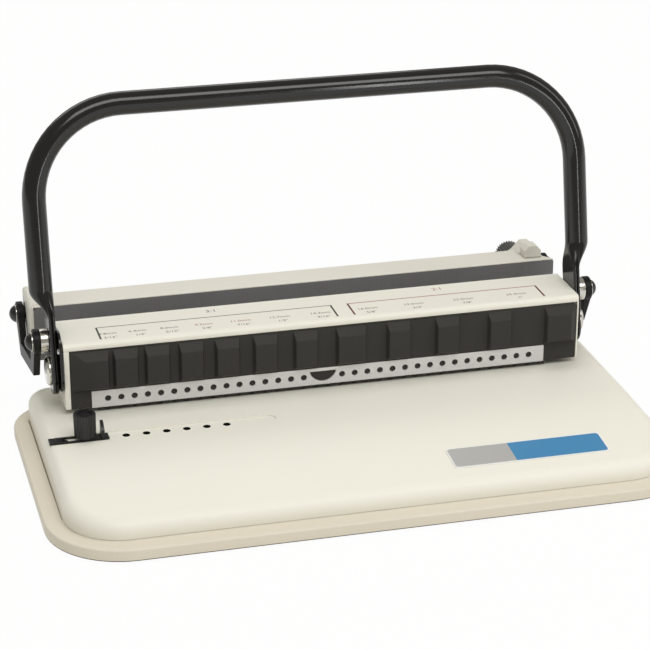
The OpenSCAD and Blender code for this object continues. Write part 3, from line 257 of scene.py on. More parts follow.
finishes |= {
    "strip_aluminium": brushed_finish("brushed_strip", (0.66, 0.66, 0.665), 0.42, "x", 0.45),
    "nickel": brushed_finish("bright_nickel", (0.62, 0.60, 0.55), 0.17, "x", 1.0, 0.08),
    "screw_steel": brushed_finish("zinc_steel", (0.62, 0.62, 0.63), 0.3, "z"),
    "tool_steel": brushed_finish("ground_steel", (0.50, 0.50, 0.51), 0.38, "x", 0.9),
    "bronze": brushed_finish("bush_bronze", (0.55, 0.38, 0.16), 0.34, "x"),
    "label": even_finish("label_white", (0.82, 0.82, 0.80), 0.35, 0.01, 900, 0.000004, 0.02),
}
label_silver = brushed_finish("label_silver", (0.56, 0.56, 0.55), 0.4, "x", 0.5, 0.06)
label_blue = even_finish("label_blue", (0.05, 0.23, 0.45), 0.3, 0.05, 900, 0.000004, 0.03)
black_ink = even_finish("black_print", (0.03, 0.03, 0.03), 0.5, 0.2, 2000, 0.000002, 0.3)
grey_ink = even_finish("grey_print", (0.13, 0.125, 0.115), 0.5, 0.2, 2000, 0.000002, 0.3)
red_ink = even_finish("red_print", (0.34, 0.09, 0.085), 0.5, 0.2, 2000, 0.000002, 0.3)
dark_red_ink = even_finish("dark_red_print", (0.13, 0.012, 0.018), 0.5, 0.2, 2000, 0.000002, 0.3)

# %% [markdown]
# Some pieces share a slot with others but look a little different: the closer is a casting whose cream is a shade
# darker and the links are satin instead of glossy. The die plate is dull, and its brownish grey is painted shade for
# the soft shadow on the cream table seen under the strip. The wheel is a lighter grey, a painted highlight for the
# light its knurl catches. The hollow inside the pressed cover gets a near-black painted shade so that the holes read as
# dark, and the underside of the rim a brown one that paints a thin contact shadow along its lower edge.

# %% Finishes of single pieces
casting_cream = even_finish("cream_casting", (0.69, 0.67, 0.598), 0.4, 0.02, 520, 0.000015, 0.03)
satin_black = even_finish(
    "satin_enamel", (0.008, 0.008, 0.0075), 0.42, 0.2, 400, 0.000006, 0.02, Specular_IOR_Level=0.2
)
# painted shade: the brown finish for the rim's underside paints the contact shadow along its lower edge
# painted shade: the near-black finish for the hollow under the holes stands in for the shade beyond the thin sheet
painted_hollow_shade, painted_rim_contact_shadow = [
    even_finish(name, colour, 0.8, 0.1, 900, 0.00001, 0.05, Specular_IOR_Level=0.1)
    for name, colour in (("painted_hollow_shade", (0.012, 0.012, 0.011)), ("painted_rim_contact_shadow", (0.10, 0.075, 0.055)))
]
# painted highlight: the wheel's plastic is a lighter grey that stands in for the light its knurl catches
knurl_highlight_grey = even_finish("knurl_highlight_moulding", (0.12, 0.12, 0.108), 0.5, 0.1, 1300, 0.00001, 0.06)
# painted shade: the die plate's dull brownish grey stands in for the soft shade on the cream table seen under the strip
die_painted_shade_steel = even_finish(
    "die_painted_shade_steel", (0.30, 0.28, 0.25), 0.6, 0.1, 900, 0.000006, 0.05, Specular_IOR_Level=0.2
)
own_finish = {
    "closer_cover": casting_cream, "adjuster_tower": casting_cream, "closer_cheek_right": casting_cream,
    "link_left": satin_black, "link_right": satin_black, "die_plate": die_painted_shade_steel,
}

# %% [markdown]
# ## First coat
# Every solid gets the finish of its slot now. Those that show are then replaced by a better piece, one by one, and
# those that stay inside are finished already.

# %% Coat the frame's solids
for node, solid in frame["nodes"].items():
    solid.data.materials.clear()
    solid.data.materials.append(finishes[slot_of[node]])
print("coated", len(frame["nodes"]), "solids")

# %% [markdown]
# ## The floor
# A plain pale floor. For the camera, and for what mirrors in metal, most of its colour is a steady white, and the
# rest is lit as paper would be, which leaves a trace of shadow under the rim. The world is white to the camera too, and
# a weaker, warmer white for everything that it lights.

# %% Floor and world
bpy.ops.object.select_all(action="DESELECT")
bpy.ops.mesh.primitive_plane_add(size=12, location=(0, 0, 0))
floor = bpy.context.object
floor.name = "studio_floor"
sweep = Finish("pale_sweep", Base_Color=(0.86, 0.85, 0.82, 1), Roughness=0.9)
rays = sweep.tree.nodes.new("ShaderNodeLightPath")


def seen_directly(finish, path):
    def ray(kind):
        return Socket(finish, path.outputs[kind])

    looks = ray("Is Camera Ray") + ray("Is Glossy Ray") + ray("Is Transmission Ray")
    return finish.node("ShaderNodeMath", {"operation": "MINIMUM"}, {0: looks, 1: 1})


FLOOR_WHITE = 0.96
white = sweep.node("ShaderNodeEmission", None, {"Color": (1, 1, 1, 1), "Strength": 1})
lit = Socket(sweep, sweep.shader.outputs[0])
whiteness = seen_directly(sweep, rays) * FLOOR_WHITE
mixed = sweep.node("ShaderNodeMixShader", None, {0: whiteness, 1: lit, 2: white})
sweep.tree.links.new(mixed.out, sweep.tree.nodes["Material Output"].inputs["Surface"])
floor.data.materials.append(sweep.material)

world = bpy.data.worlds.new("white_surround")
world.use_nodes = True
bpy.context.scene.world = world
sky = world.node_tree.nodes["Background"]
world_rays = world.node_tree.nodes.new("ShaderNodeLightPath")
AMBIENT, AMBIENT_TINT = 0.36, (1, 0.965, 0.88, 1)
level = world.node_tree.nodes.new("ShaderNodeMapRange")
level.inputs["To Min"].default_value = AMBIENT
level.inputs["To Max"].default_value = 1
world.node_tree.links.new(world_rays.outputs["Is Camera Ray"], level.inputs["Value"])
world.node_tree.links.new(level.outputs[0], sky.inputs["Strength"])
tint = world.node_tree.nodes.new("ShaderNodeMix")
tint.data_type = "RGBA"
tint.inputs[6].default_value = AMBIENT_TINT
tint.inputs[7].default_value = (1, 1, 1, 1)
world.node_tree.links.new(world_rays.outputs["Is Camera Ray"], tint.inputs[0])
world.node_tree.links.new(tint.outputs[2], sky.inputs["Color"])
bpy.context.scene.view_settings.view_transform = "Standard"
print("floor and world are white to the camera")

# %% [markdown]
# ## Working in edit mode from a script
# An operator acts on what is selected, so each step first picks faces, edges or vertices by where they are. These
# few helpers do the picking, add a box at its place, cut one piece with another and hand a finished piece to its body.

# %% Helpers for modelling
MM = 0.001


def object_mode():
    if bpy.context.object and bpy.context.object.mode != "OBJECT":
        bpy.ops.object.mode_set(mode="OBJECT")


def only(piece):
    object_mode()
    bpy.ops.object.select_all(action="DESELECT")
    piece.select_set(True)
    bpy.context.view_layer.objects.active = piece
    return piece


def settle(name):
    piece = bpy.context.object
    piece.name = piece.data.name = name
    bpy.ops.object.transform_apply(location=True, rotation=True, scale=True)
    return piece


def box_piece(name, low, high):
    object_mode()
    bpy.ops.object.select_all(action="DESELECT")
    middle = [(a + b) / 2 * MM for a, b in zip(low, high)]
    bpy.ops.mesh.primitive_cube_add(size=MM, location=middle, scale=[b - a for a, b in zip(low, high)])
    return settle(name)


def rod_piece(name, middle, radius, length, axis="z", sides=48):
    object_mode()
    bpy.ops.object.select_all(action="DESELECT")
    turn = {"x": (0, math.pi / 2, 0), "y": (math.pi / 2, 0, 0), "z": (0, 0, 0)}[axis]
    place = [c * MM for c in middle]
    bpy.ops.mesh.primitive_cylinder_add(
        vertices=sides, radius=radius * MM, depth=length * MM, location=place, rotation=turn
    )
    return settle(name)


def pick(piece, kind, test):
    """Selects the vertices, edges or faces that pass the test, and leaves the piece in edit mode."""
    if bpy.context.object is not piece or piece.mode != "EDIT":
        only(piece)
        bpy.ops.object.mode_set(mode="EDIT")
    bpy.ops.mesh.select_mode(type=kind)
    bpy.ops.mesh.select_all(action="DESELECT")
    mesh = bmesh.from_edit_mesh(piece.data)
    parts = {"VERT": mesh.verts, "EDGE": mesh.edges, "FACE": mesh.faces}[kind]
    chosen = [part for part in parts if test(part)]
    for part in chosen:
        part.select_set(True)
    mesh.select_flush_mode()
    bmesh.update_edit_mesh(piece.data)
    return len(chosen)


def near(value, millimetres, slack=0.02):
    return abs(value / MM - millimetres) < slack


def runs_along(edge, axis):
    line = edge.verts[1].co - edge.verts[0].co
    return abs(line["xyz".index(axis)]) > 0.99 * line.length


def round_off(width, segments=3):
    bpy.ops.mesh.bevel(
        offset=width * MM, segments=segments, affect="EDGES", clamp_overlap=False, loop_slide=False
    )


def apply_modifier(piece, kind, **settings):
    only(piece)
    modifier = piece.modifiers.new(kind.lower(), kind)
    for key, value in settings.items():
        setattr(modifier, key, value)
    bpy.ops.object.modifier_apply(modifier=modifier.name)


def cut(piece, *cutters):
    for cutter in cutters:
        object_mode()
        apply_modifier(piece, "BOOLEAN", operation="DIFFERENCE", object=cutter, solver="EXACT")
        bpy.data.objects.remove(cutter)


def hand_over(piece, body, slot, nodes=(), finish=None, smooth=32):
    """Shades a piece, gives it its finish, hangs it on the body that carries it and hides the solids it stands for."""
    only(piece)
    bpy.ops.object.shade_smooth_by_angle(angle=math.radians(smooth))
    apply_modifier(piece, "WEIGHTED_NORMAL", keep_sharp=True)
    piece.data.materials.clear()
    piece.data.materials.append(finish or finishes[slot])
    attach(piece, body)
    if nodes:
        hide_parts(*nodes)
    print("piece", piece.name, len(piece.data.polygons), "faces")
    return piece


def second_finish(piece, finish, test):
    """Gives another finish to those faces of a finished piece that pass the test."""
    only(piece)
    piece.data.materials.append(finish)
    piece.active_material_index = 1
    count = pick(piece, "FACE", test)
    bpy.ops.object.material_slot_assign()
    object_mode()
    print("second finish on", count, "faces of", piece.name)


# %% [markdown]
# ## The table
# The real table is one pressed cover: flat under the head, then falling away to the front in a long gentle curve,
# with a soft upper edge and rounded corners. A subdivided sheet could be draped over it, but a box is exact: its
# upright corners and upper edge are bevelled, it is sliced into rows, and each row is let down onto the curve.

# %% Table: box, corners and upper edge
TABLE_LOW, TABLE_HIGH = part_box("table_cover")
RIM_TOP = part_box("base_tray")[1].z / MM
TABLE_TOP = TABLE_HIGH.z / MM
EDGE_R = 8
CORNER_FRONT, CORNER_REAR = 35, 15
table_front, table_rear = TABLE_LOW.y / MM, TABLE_HIGH.y / MM
table_half = TABLE_HIGH.x / MM
SHADOW_GAP, SHADOW_IN = 0.2, 1.2
table = box_piece(
    "table", (-table_half, table_front, RIM_TOP + SHADOW_GAP), (table_half, table_rear, TABLE_TOP)
)
pick(table, "EDGE", lambda e: runs_along(e, "z") and e.verts[0].co.y < 0)
round_off(CORNER_FRONT, 14)
pick(table, "EDGE", lambda e: runs_along(e, "z") and near(e.verts[0].co.y, table_rear))
round_off(CORNER_REAR, 12)
pick(table, "EDGE", lambda e: all(near(v.co.z, TABLE_TOP) for v in e.verts))
round_off(EDGE_R, 7)
pick(table, "FACE", lambda f: f.normal.z < -0.9)
bpy.ops.mesh.inset(thickness=SHADOW_IN * MM)
bpy.ops.mesh.extrude_region_move(TRANSFORM_OT_translate={"value": (0, 0, -SHADOW_GAP * MM)})
print("table", round(2 * table_half), "mm wide")

# %% Table: rows that come down onto the long curve
BEND_Y, BEND_R = -25, 650
CREASE, ROW, ROWS = 4, 6, 15


def curve_drop(y):
    return BEND_R - math.sqrt(BEND_R**2 - (BEND_Y - y) ** 2) if y < BEND_Y else 0


def slice_rows(piece, places):
    for y in places:
        pick(piece, "FACE", lambda f: True)
        bpy.ops.mesh.bisect(plane_co=(0, y * MM, 0), plane_no=(0, 1, 0))


def lower_rows(piece, above):
    mesh = bmesh.from_edit_mesh(piece.data)
    rows = sorted({round(v.co.y / MM, 3) for v in mesh.verts if v.co.z / MM > above})
    for y in rows:
        if y < BEND_Y - 0.01:
            pick(piece, "VERT", lambda v: near(v.co.y, y, 0.002) and v.co.z / MM > above)
            bpy.ops.transform.translate(value=(0, 0, -curve_drop(y) * MM))
    return len(rows)


slice_rows(table, [BEND_Y + CREASE] + [BEND_Y - ROW * i for i in range(ROWS + 1)])
print("rows lowered", lower_rows(table, TABLE_TOP - EDGE_R - 0.05))

# %% [markdown]
# The guide runs in a shallow track with a row of holes, the die plate sits in a slot under the head, and the chip
# drawer slides in from the right. All of these are cuts, so they are made with boxes and rods as cutters, and so is the
# hollow under the holes.

# %% Table: track, holes, die slot and drawer room
KNOB_X, TRACK_Y = [c / MM for c in joints["knob_turn"]["pos_m"][:2]]
TRACK_W, TRACK_END, TRACK_DEPTH = 11.6, -43, 0.8
HOLES, HOLE_PITCH, HOLE_R, HOLE_DEPTH = 9, 12.7, 2.4, 15
DRAWER_LOW, DRAWER_HIGH = [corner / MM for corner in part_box("chip_drawer")]
DIE_LOW, DIE_HIGH = [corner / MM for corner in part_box("die_plate")]
DRAWER_AIR, DRAWER_END, DRAWER_FLOOR = 0.4, 4, 2
DIE_EAR, DIE_AIR = 12, 0.05
PAST = 1
TABLE_FLOOR = RIM_TOP + 3
track = box_piece(
    "track_cut",
    (-table_half - PAST, TRACK_Y - TRACK_W / 2, TABLE_TOP - TRACK_DEPTH),
    (TRACK_END, TRACK_Y + TRACK_W / 2, TABLE_TOP + PAST),
)
pick(track, "EDGE", lambda e: runs_along(e, "z") and near(e.verts[0].co.x, TRACK_END))
round_off(TRACK_W / 2 - 0.05, 10)
hole_places = [(KNOB_X + (i - 1) * HOLE_PITCH, TRACK_Y, TABLE_TOP) for i in range(HOLES)]
holes = [rod_piece("hole_cut", place, HOLE_R, 2 * HOLE_DEPTH, sides=24) for place in hole_places]
die_room = box_piece(
    "die_cut",
    (DIE_LOW.x + DIE_EAR, DIE_LOW.y - DIE_AIR, TABLE_FLOOR),
    (DIE_HIGH.x - DIE_EAR, DIE_HIGH.y + DIE_AIR, TABLE_TOP + PAST),
)
drawer_room = box_piece(
    "drawer_cut",
    (DRAWER_LOW.x - DRAWER_END, DRAWER_LOW.y - DRAWER_AIR, DRAWER_FLOOR),
    (table_half + PAST, DRAWER_HIGH.y + DRAWER_AIR, DRAWER_HIGH.z + DRAWER_AIR),
)
TABLE_SKIN = 1.6
HOLLOW_HALF = 7
hollow_top = TABLE_TOP - TRACK_DEPTH - TABLE_SKIN
hollow = box_piece(
    "hollow_cut",
    (EDGE_R - table_half, TRACK_Y - HOLLOW_HALF, TABLE_FLOOR),
    (TRACK_END - EDGE_R, TRACK_Y + HOLLOW_HALF, hollow_top),
)
cut(table, track, die_room, drawer_room, hollow, *holes)
hand_over(table, "base", "cream_paint", ["table_cover"])

# %% Table: painted shade inside the hollow, so the holes read as dark


def in_hollow(face):
    x, y, z = face.calc_center_median() / MM
    slack = 0.1
    along = EDGE_R - table_half - slack < x < TRACK_END
    across = abs(y - TRACK_Y) < HOLLOW_HALF + slack
    return along and across and TABLE_FLOOR - PAST < z < TABLE_TOP - TRACK_DEPTH - slack


# painted shade: the hollow's faces get the near-black finish, so the holes read as dark
second_finish(table, painted_hollow_shade, in_hollow)

# %% [markdown]
# ## The rim
# Under the table lies a sand-coloured tray whose rim stands out all round like a plinth. It is a box with large
# corner bevels, a soft upper edge and a finer lower one. The screws sit in counterbores on its underside, and along
# both sides of the table a groove is left that narrows towards the front.

# %% Rim
TRAY_LOW, TRAY_HIGH = [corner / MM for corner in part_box("base_tray")]
RIM_CORNER_FRONT, RIM_CORNER_REAR = 48, 36
UPPER_EDGE, LOWER_EDGE = 1.1, 0.9
SCREW_R, BORE_R, BORE_L = 3.25, 3.5, 3
GROOVE_W, GROOVE_TIP, GROOVE_DEPTH = 1.0, 0.3, 2.5
rim = box_piece("rim", TRAY_LOW, TRAY_HIGH)
pick(rim, "EDGE", lambda e: runs_along(e, "z") and e.verts[0].co.y < 0)
round_off(RIM_CORNER_FRONT, 18)
pick(rim, "EDGE", lambda e: runs_along(e, "z") and near(e.verts[0].co.y, TRAY_HIGH.y))
round_off(RIM_CORNER_REAR, 14)
pick(rim, "EDGE", lambda e: all(near(v.co.z, TRAY_HIGH.z) for v in e.verts))
round_off(UPPER_EDGE, 3)
pick(rim, "EDGE", lambda e: all(near(v.co.z, TRAY_LOW.z) for v in e.verts))
round_off(LOWER_EDGE, 2)
SCREWS_LOW, SCREWS_HIGH = [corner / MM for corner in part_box("base_screws")]
bores = []
for x in (SCREWS_LOW.x + SCREW_R, SCREWS_HIGH.x - SCREW_R):
    for y in (SCREWS_LOW.y + SCREW_R, SCREWS_HIGH.y - SCREW_R):
        bores.append(rod_piece("bore_cut", (x, y, TRAY_LOW.z), BORE_R, BORE_L, sides=32))
grooves = []
for side in (-1, 1):
    edges = sorted((side * table_half, side * (table_half + GROOVE_W)))
    groove = box_piece(
        "groove_cut",
        (edges[0], table_front + CORNER_FRONT, TRAY_HIGH.z - GROOVE_DEPTH),
        (edges[1], table_rear - CORNER_REAR, TRAY_HIGH.z + PAST),
    )
    pick(groove, "VERT", lambda v: v.co.y < 0 and abs(v.co.x) / MM > table_half + 0.1)
    bpy.ops.transform.translate(value=(side * (GROOVE_TIP - GROOVE_W) * MM, 0, 0))
    grooves.append(groove)
cut(rim, *bores, *grooves)
hand_over(rim, "base", "rim_paint", ["base_tray"])

# %% Rim: a brown finish on the underside paints a thin contact shadow along its lower edge


def on_underside(face):
    return face.calc_center_median().z / MM < TRAY_LOW.z + LOWER_EDGE and face.normal.z < -0.1


# painted shade: the underside's brown finish draws a thin contact shadow along the rim's lower edge
second_finish(rim, painted_rim_contact_shadow, on_underside)

# %% [markdown]
# ## Easing a solid's edges
# Sheet and castings never have knife edges. Where a solid already has the right shape, a copy of it is merged into
# clean faces and its sharp edges are bevelled by a few tenths of a millimetre, so that they catch the light.

# %% Eased copies
body_of = {node: body for body, nodes in frame["record"]["behaviour"]["bodies"].items() for node in nodes}


def eased_copy(node, width, segments=2):
    object_mode()
    piece = bpy.data.objects.new(node + "_piece", frame["nodes"][node].data.copy())
    bpy.context.scene.collection.objects.link(piece)
    pick(piece, "VERT", lambda v: True)
    bpy.ops.mesh.remove_doubles(threshold=0.002 * MM)
    bpy.ops.mesh.dissolve_limited(angle_limit=math.radians(0.4))
    object_mode()
    if width:
        apply_modifier(
            piece, "BEVEL", width=width * MM, segments=segments, limit_method="ANGLE",
            angle_limit=math.radians(34), use_clamp_overlap=False, miter_outer="MITER_ARC",
        )
    return piece


def ease(node, width, segments=2):
    piece = eased_copy(node, width, segments)
    return hand_over(piece, body_of[node], slot_of[node], [node], own_finish.get(node))


# %% Head, closer and hardware with eased edges
EASED = {
    "side_plate_left": 0.5, "side_plate_right": 0.3, "head_cover": 0.5, "hole_strip": 0.12, "back_plate": 0.4,
    "gauge_panel": 0.3, "closer_cover": 0.7, "closer_cheek_right": 0.7, "closer_beam": 0.5, "adjuster_tower": 0.5,
    "link_left": 0.6, "link_right": 0.6, "hub_plate": 0.4, "hub_rivet": 0.2, "edge_guide": 0.2, "chip_drawer": 0.4,
    "pivot_bolts": 0.3, "link_spacers": 0.6, "handle_washers": 0.15, "closer_washer_left": 0.15,
    "closer_washer_right": 0.15, "handle_bolts": 0, "closer_bolt_left": 0, "closer_bolt_right": 0, "closer_rods": 0.5,
    "rubber_feet": 0.25, "side_plate_screws": 0.1, "adjusting_screw": 0.4, "shaft_bushes": 0.2, "rod_bushes": 0.2,
    "die_plate": 0.1, "punch_guide": 0.15,
}
for node, width in EASED.items():
    ease(node, width)

# %% [markdown]
# ## Return springs
# Two springs lift the punches again. Their upper ends go down with the punch bar while their feet stay on the base, so
# they shorten by the length of the stroke. The piece is hung on the body that the record gives it and gets a mesh of
# its own, and the share of its length that it keeps at full stroke is printed.

# %% Springs and the share of their length kept at full stroke
stroke = joints["punch_slide"]["range_m"][1]
spring_low, spring_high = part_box("return_springs")
springs = ease("return_springs", 0)
kept = 1 - stroke / (spring_high.z - spring_low.z)
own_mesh(springs)
print("springs keep", round(kept, 3), "of their length")

# %% [markdown]
# ## The handle
# The handle is a steel tube bent twice, its two ends pressed flat and rounded so that they can be bolted on. A curve
# with a round profile would give the tube but not the pressed ends. So one leg is built: a ring is extruded, spun
# through the bend and run to the middle, a rounded blade is bridged to its foot, and the half is mirrored. Where a
# tube is pressed flat its two walls meet in a seam, so a narrow groove runs round the blade's edge.

# %% Handle: ring, bend and grip
TUBE_R, BEND_TUBE_R, REACH = 7.5, 58, 164.6
FLAT_IN, FLAT_OUT, FLAT_W, FLAT_L, FLAT_END, TAPER_L = 171.2, 175.6, 23, 35, 4, 17
LEG_OUT = 2.2
LEG_X = FLAT_OUT + LEG_OUT
RING = 32
object_mode()
bpy.ops.object.select_all(action="DESELECT")
ring_place = (LEG_X * MM, 0, (FLAT_L + TAPER_L) * MM)
bpy.ops.mesh.primitive_circle_add(
    vertices=RING, radius=TUBE_R * MM, location=ring_place, rotation=(0, 0, math.pi / RING)
)
handle = settle("handle")
pick(handle, "EDGE", lambda e: True)
straight = REACH - BEND_TUBE_R - FLAT_L - TAPER_L
bpy.ops.mesh.extrude_region_move(TRANSFORM_OT_translate={"value": (0, 0, straight * MM)})
bend_middle = ((LEG_X - BEND_TUBE_R) * MM, 0, (REACH - BEND_TUBE_R) * MM)
bpy.ops.mesh.spin(steps=16, angle=math.pi / 2, center=bend_middle, axis=(0, 1, 0))
bpy.ops.mesh.extrude_region_move(TRANSFORM_OT_translate={"value": (-bend_middle[0], 0, 0)})
object_mode()
print("tube top", round(max(v.co.z for v in handle.data.vertices) / MM, 2))

# %% Handle: the pressed end
blade_low = -FLAT_END - FLAT_W / 2
blade = box_piece("blade", (FLAT_IN, -FLAT_W / 2, blade_low), (FLAT_OUT, FLAT_W / 2, FLAT_L))
pick(blade, "EDGE", lambda e: runs_along(e, "x") and near(e.verts[0].co.z, blade_low))
round_off(FLAT_W / 2 - 0.1, 12)
pick(blade, "FACE", lambda f: near(f.calc_center_median().z, FLAT_L))
bpy.ops.mesh.delete(type="FACE")
print("blade", round(FLAT_OUT - FLAT_IN, 2), "mm thick")

# %% Handle: the seam where the tube's two walls meet
SEAM_X = (FLAT_IN + FLAT_OUT) / 2
SEAM_HALF, SEAM_DEPTH = 0.4, 0.7
BLADE_EDGE = 1.4


def outline_edge(edge, x):
    return all(near(v.co.x, x) for v in edge.verts) and not all(near(v.co.z, FLAT_L) for v in edge.verts)


pick(blade, "FACE", lambda f: True)
bpy.ops.mesh.bisect(plane_co=(SEAM_X * MM, 0, 0), plane_no=(1, 0, 0))
pick(blade, "EDGE", lambda e: outline_edge(e, FLAT_IN) or outline_edge(e, FLAT_OUT))
round_off(BLADE_EDGE, 6)
pick(blade, "EDGE", lambda e: outline_edge(e, SEAM_X))
round_off(SEAM_HALF, 2)
seam = pick(blade, "VERT", lambda v: near(v.co.x, SEAM_X))
bpy.ops.transform.shrink_fatten(value=-SEAM_DEPTH * MM)
print("seam vertices", seam)

# %% Handle: bridge the pressed end to the tube
only(blade)
handle.select_set(True)
bpy.context.view_layer.objects.active = handle
bpy.ops.object.join()


def on_open_end(edge):
    ends = (FLAT_L, FLAT_L + TAPER_L)
    return edge.is_boundary and any(all(near(v.co.z, z) for v in edge.verts) for z in ends)


count = pick(handle, "EDGE", on_open_end)
bpy.ops.mesh.bridge_edge_loops(number_cuts=9, interpolation="SURFACE", smoothness=0.8)
print("bridged edges", count)

# %% Handle: mirror it, lean it back and seat it on the shaft
HANDLE_LOW, HANDLE_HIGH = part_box("handle_tube")
PIVOT = ((HANDLE_LOW.x + HANDLE_HIGH.x) / 2, *joints["handle_swing"]["pos_m"][1:])
LEAN = 11.4
apply_modifier(handle, "MIRROR", use_axis=(True, False, False), use_clip=True, merge_threshold=0.05 * MM)
pick(handle, "FACE", lambda f: True)
bpy.ops.mesh.normals_make_consistent(inside=False)
only(handle)
handle.location = PIVOT
handle.rotation_euler = (math.radians(-LEAN), 0, 0)
bpy.ops.object.transform_apply(location=True, rotation=True, scale=True)
hand_over(handle, "handle", "gloss_black", ["handle_tube"], smooth=40)

# %% [markdown]
# ## The closer's bar
# The grey bar that squeezes the wire has fine upright ribs along most of its face and plain ends with rounded upper
# corners. One rib is a small bevelled block, an Array modifier repeats it, and the row joins the bar.

# %% Closer bar and ribs
BAR_LOW, BAR_HIGH = [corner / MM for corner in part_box("closer_bar")]
BAR_CORNER_LEFT, BAR_CORNER_RIGHT, BAR_EDGE = 3, 1.4, 0.3
RIB_FROM, RIB_TO, RIB_PITCH, RIB_W, RIB_OUT, RIB_IN = -148.5, 158.5, 1.1, 0.8, 0.12, 0.3
RIB_FOOT, RIB_HEAD, RIB_EDGE = 2, 1.2, 0.1
ROD_X, ROD_Z, ROD_HOLE_R = 120, 43, 5.5
closer_bar = box_piece("closer_bar_piece", BAR_LOW, BAR_HIGH)


def upper_corner(edge, x):
    return runs_along(edge, "y") and all(near(v.co.z, BAR_HIGH.z) and near(v.co.x, x) for v in edge.verts)


for end, corner in ((BAR_LOW.x, BAR_CORNER_LEFT), (BAR_HIGH.x, BAR_CORNER_RIGHT)):
    pick(closer_bar, "EDGE", lambda e: upper_corner(e, end))
    round_off(corner, 6)
pick(closer_bar, "EDGE", lambda e: all(near(v.co.y, BAR_LOW.y) for v in e.verts))
round_off(BAR_EDGE, 2)
rod_places = [(side * ROD_X, BAR_LOW.y + 2, ROD_Z) for side in (-1, 1)]
cut(closer_bar, *[rod_piece("rod_cut", place, ROD_HOLE_R, 12, "y") for place in rod_places])
rib = box_piece(
    "rib",
    (RIB_FROM, BAR_LOW.y - RIB_OUT, BAR_LOW.z + RIB_FOOT),
    (RIB_FROM + RIB_W, BAR_LOW.y + RIB_IN, BAR_HIGH.z - RIB_HEAD),
)
pick(rib, "EDGE", lambda e: runs_along(e, "z") and near(e.verts[0].co.y, BAR_LOW.y - RIB_OUT))
round_off(RIB_EDGE, 1)
apply_modifier(
    rib, "ARRAY", count=int((RIB_TO - RIB_FROM) / RIB_PITCH), use_relative_offset=False,
    use_constant_offset=True, constant_offset_displace=(RIB_PITCH * MM, 0, 0),
)
only(closer_bar)
rib.select_set(True)
bpy.ops.object.join()
hand_over(closer_bar, "closer", "closer_grey", ["closer_bar"])

# %% [markdown]
# ## The closer's left end
# The left end is a deep cream cheek with a soft, generous outline and a round pocket for the link's bolt. It is a
# box with a notch for the bar, bevelled all round.

# %% Left cheek
CHEEK_LOW, CHEEK_HIGH = [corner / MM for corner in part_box("closer_cheek_left")]
BOLT_LOW, BOLT_HIGH = [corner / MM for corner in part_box("closer_bolt_left")]
EYE = (BOLT_LOW + BOLT_HIGH) / 2
CHEEK_ROUND, CHEEK_EDGE = 2.4, 2
POCKET_R, POCKET_DEPTH = 7.4, 6.4
cheek = box_piece("left_cheek", CHEEK_LOW, CHEEK_HIGH)
pick(cheek, "EDGE", lambda e: runs_along(e, "x"))
round_off(CHEEK_ROUND, 5)
pick(cheek, "EDGE", lambda e: all(near(v.co.x, CHEEK_LOW.x) for v in e.verts))
round_off(CHEEK_EDGE, 5)
notch = box_piece(
    "notch_cut",
    (BAR_LOW.x, CHEEK_LOW.y - PAST, CHEEK_LOW.z - PAST),
    (CHEEK_HIGH.x + PAST, BAR_HIGH.y, CHEEK_HIGH.z + PAST),
)
pocket = rod_piece("pocket_cut", (CHEEK_LOW.x, EYE.y, EYE.z), POCKET_R, 2 * POCKET_DEPTH, "x")
cut(cheek, notch, pocket)
hand_over(cheek, "closer", "cream_paint", ["closer_cheek_left"], casting_cream)

# %% [markdown]
# ## Knurled wheel and fluted knob
# Fingers need a grip: the adjusting wheel has teeth round its rim and the guide's knob has flutes and a stepped
# top. On a cylinder, every second line of vertices is drawn in towards the axis, which makes the teeth in one step.

# %% Adjusting wheel
WHEEL_LOW, WHEEL_HIGH = [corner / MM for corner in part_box("adjusting_wheel")]
WHEEL = (WHEEL_LOW + WHEEL_HIGH) / 2
WHEEL_R = (WHEEL_HIGH.x - WHEEL_LOW.x) / 2
WHEEL_TEETH, WHEEL_ROOT = 30, 0.86
wheel = rod_piece("wheel_piece", WHEEL, WHEEL_R, WHEEL_HIGH.y - WHEEL_LOW.y, "y", 2 * WHEEL_TEETH)


def between_teeth(vertex, middle, first, second, teeth):
    arm = vertex.co - middle * MM
    return round(math.atan2(arm[first], arm[second]) * teeth / math.pi) % 2 == 0


pick(wheel, "VERT", lambda v: between_teeth(v, WHEEL, 0, 2, WHEEL_TEETH))
bpy.ops.transform.resize(value=(WHEEL_ROOT, 1, WHEEL_ROOT), center_override=WHEEL * MM)
pick(wheel, "FACE", lambda f: abs(f.normal.y) > 0.9)
bpy.ops.mesh.inset(thickness=0.7 * MM, depth=0.5 * MM, use_individual=True)
bpy.ops.mesh.inset(thickness=2.0 * MM, use_individual=True)
bpy.ops.mesh.inset(thickness=0.4 * MM, depth=-0.8 * MM, use_individual=True)
# painted highlight: the wheel gets the lighter grey for the light caught by its knurl
hand_over(wheel, "wheel", "dark_plastic", ["adjusting_wheel"], knurl_highlight_grey, 20)

# %% Guide knob
KNOB_LOW, KNOB_HIGH = [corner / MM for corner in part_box("guide_knob")]
KNOB_R = (KNOB_HIGH.x - KNOB_LOW.x) / 2
GUIDE_T, NECK_H = 1.4, 1.2
KNOB_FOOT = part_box("edge_guide")[0].z / MM + GUIDE_T
KNOB_BODY = KNOB_FOOT + NECK_H
KNOB_TEETH, KNOB_ROOT, KNOB_TAPER = 24, 0.93, 0.95
KNOB_MIDDLE = Vector((KNOB_X, TRACK_Y, (KNOB_BODY + KNOB_HIGH.z) / 2))
knob = rod_piece("knob_piece", KNOB_MIDDLE, KNOB_R, KNOB_HIGH.z - KNOB_BODY, "z", 2 * KNOB_TEETH)
pick(knob, "VERT", lambda v: between_teeth(v, KNOB_MIDDLE, 0, 1, KNOB_TEETH))
bpy.ops.transform.resize(value=(KNOB_ROOT, KNOB_ROOT, 1), center_override=KNOB_MIDDLE * MM)
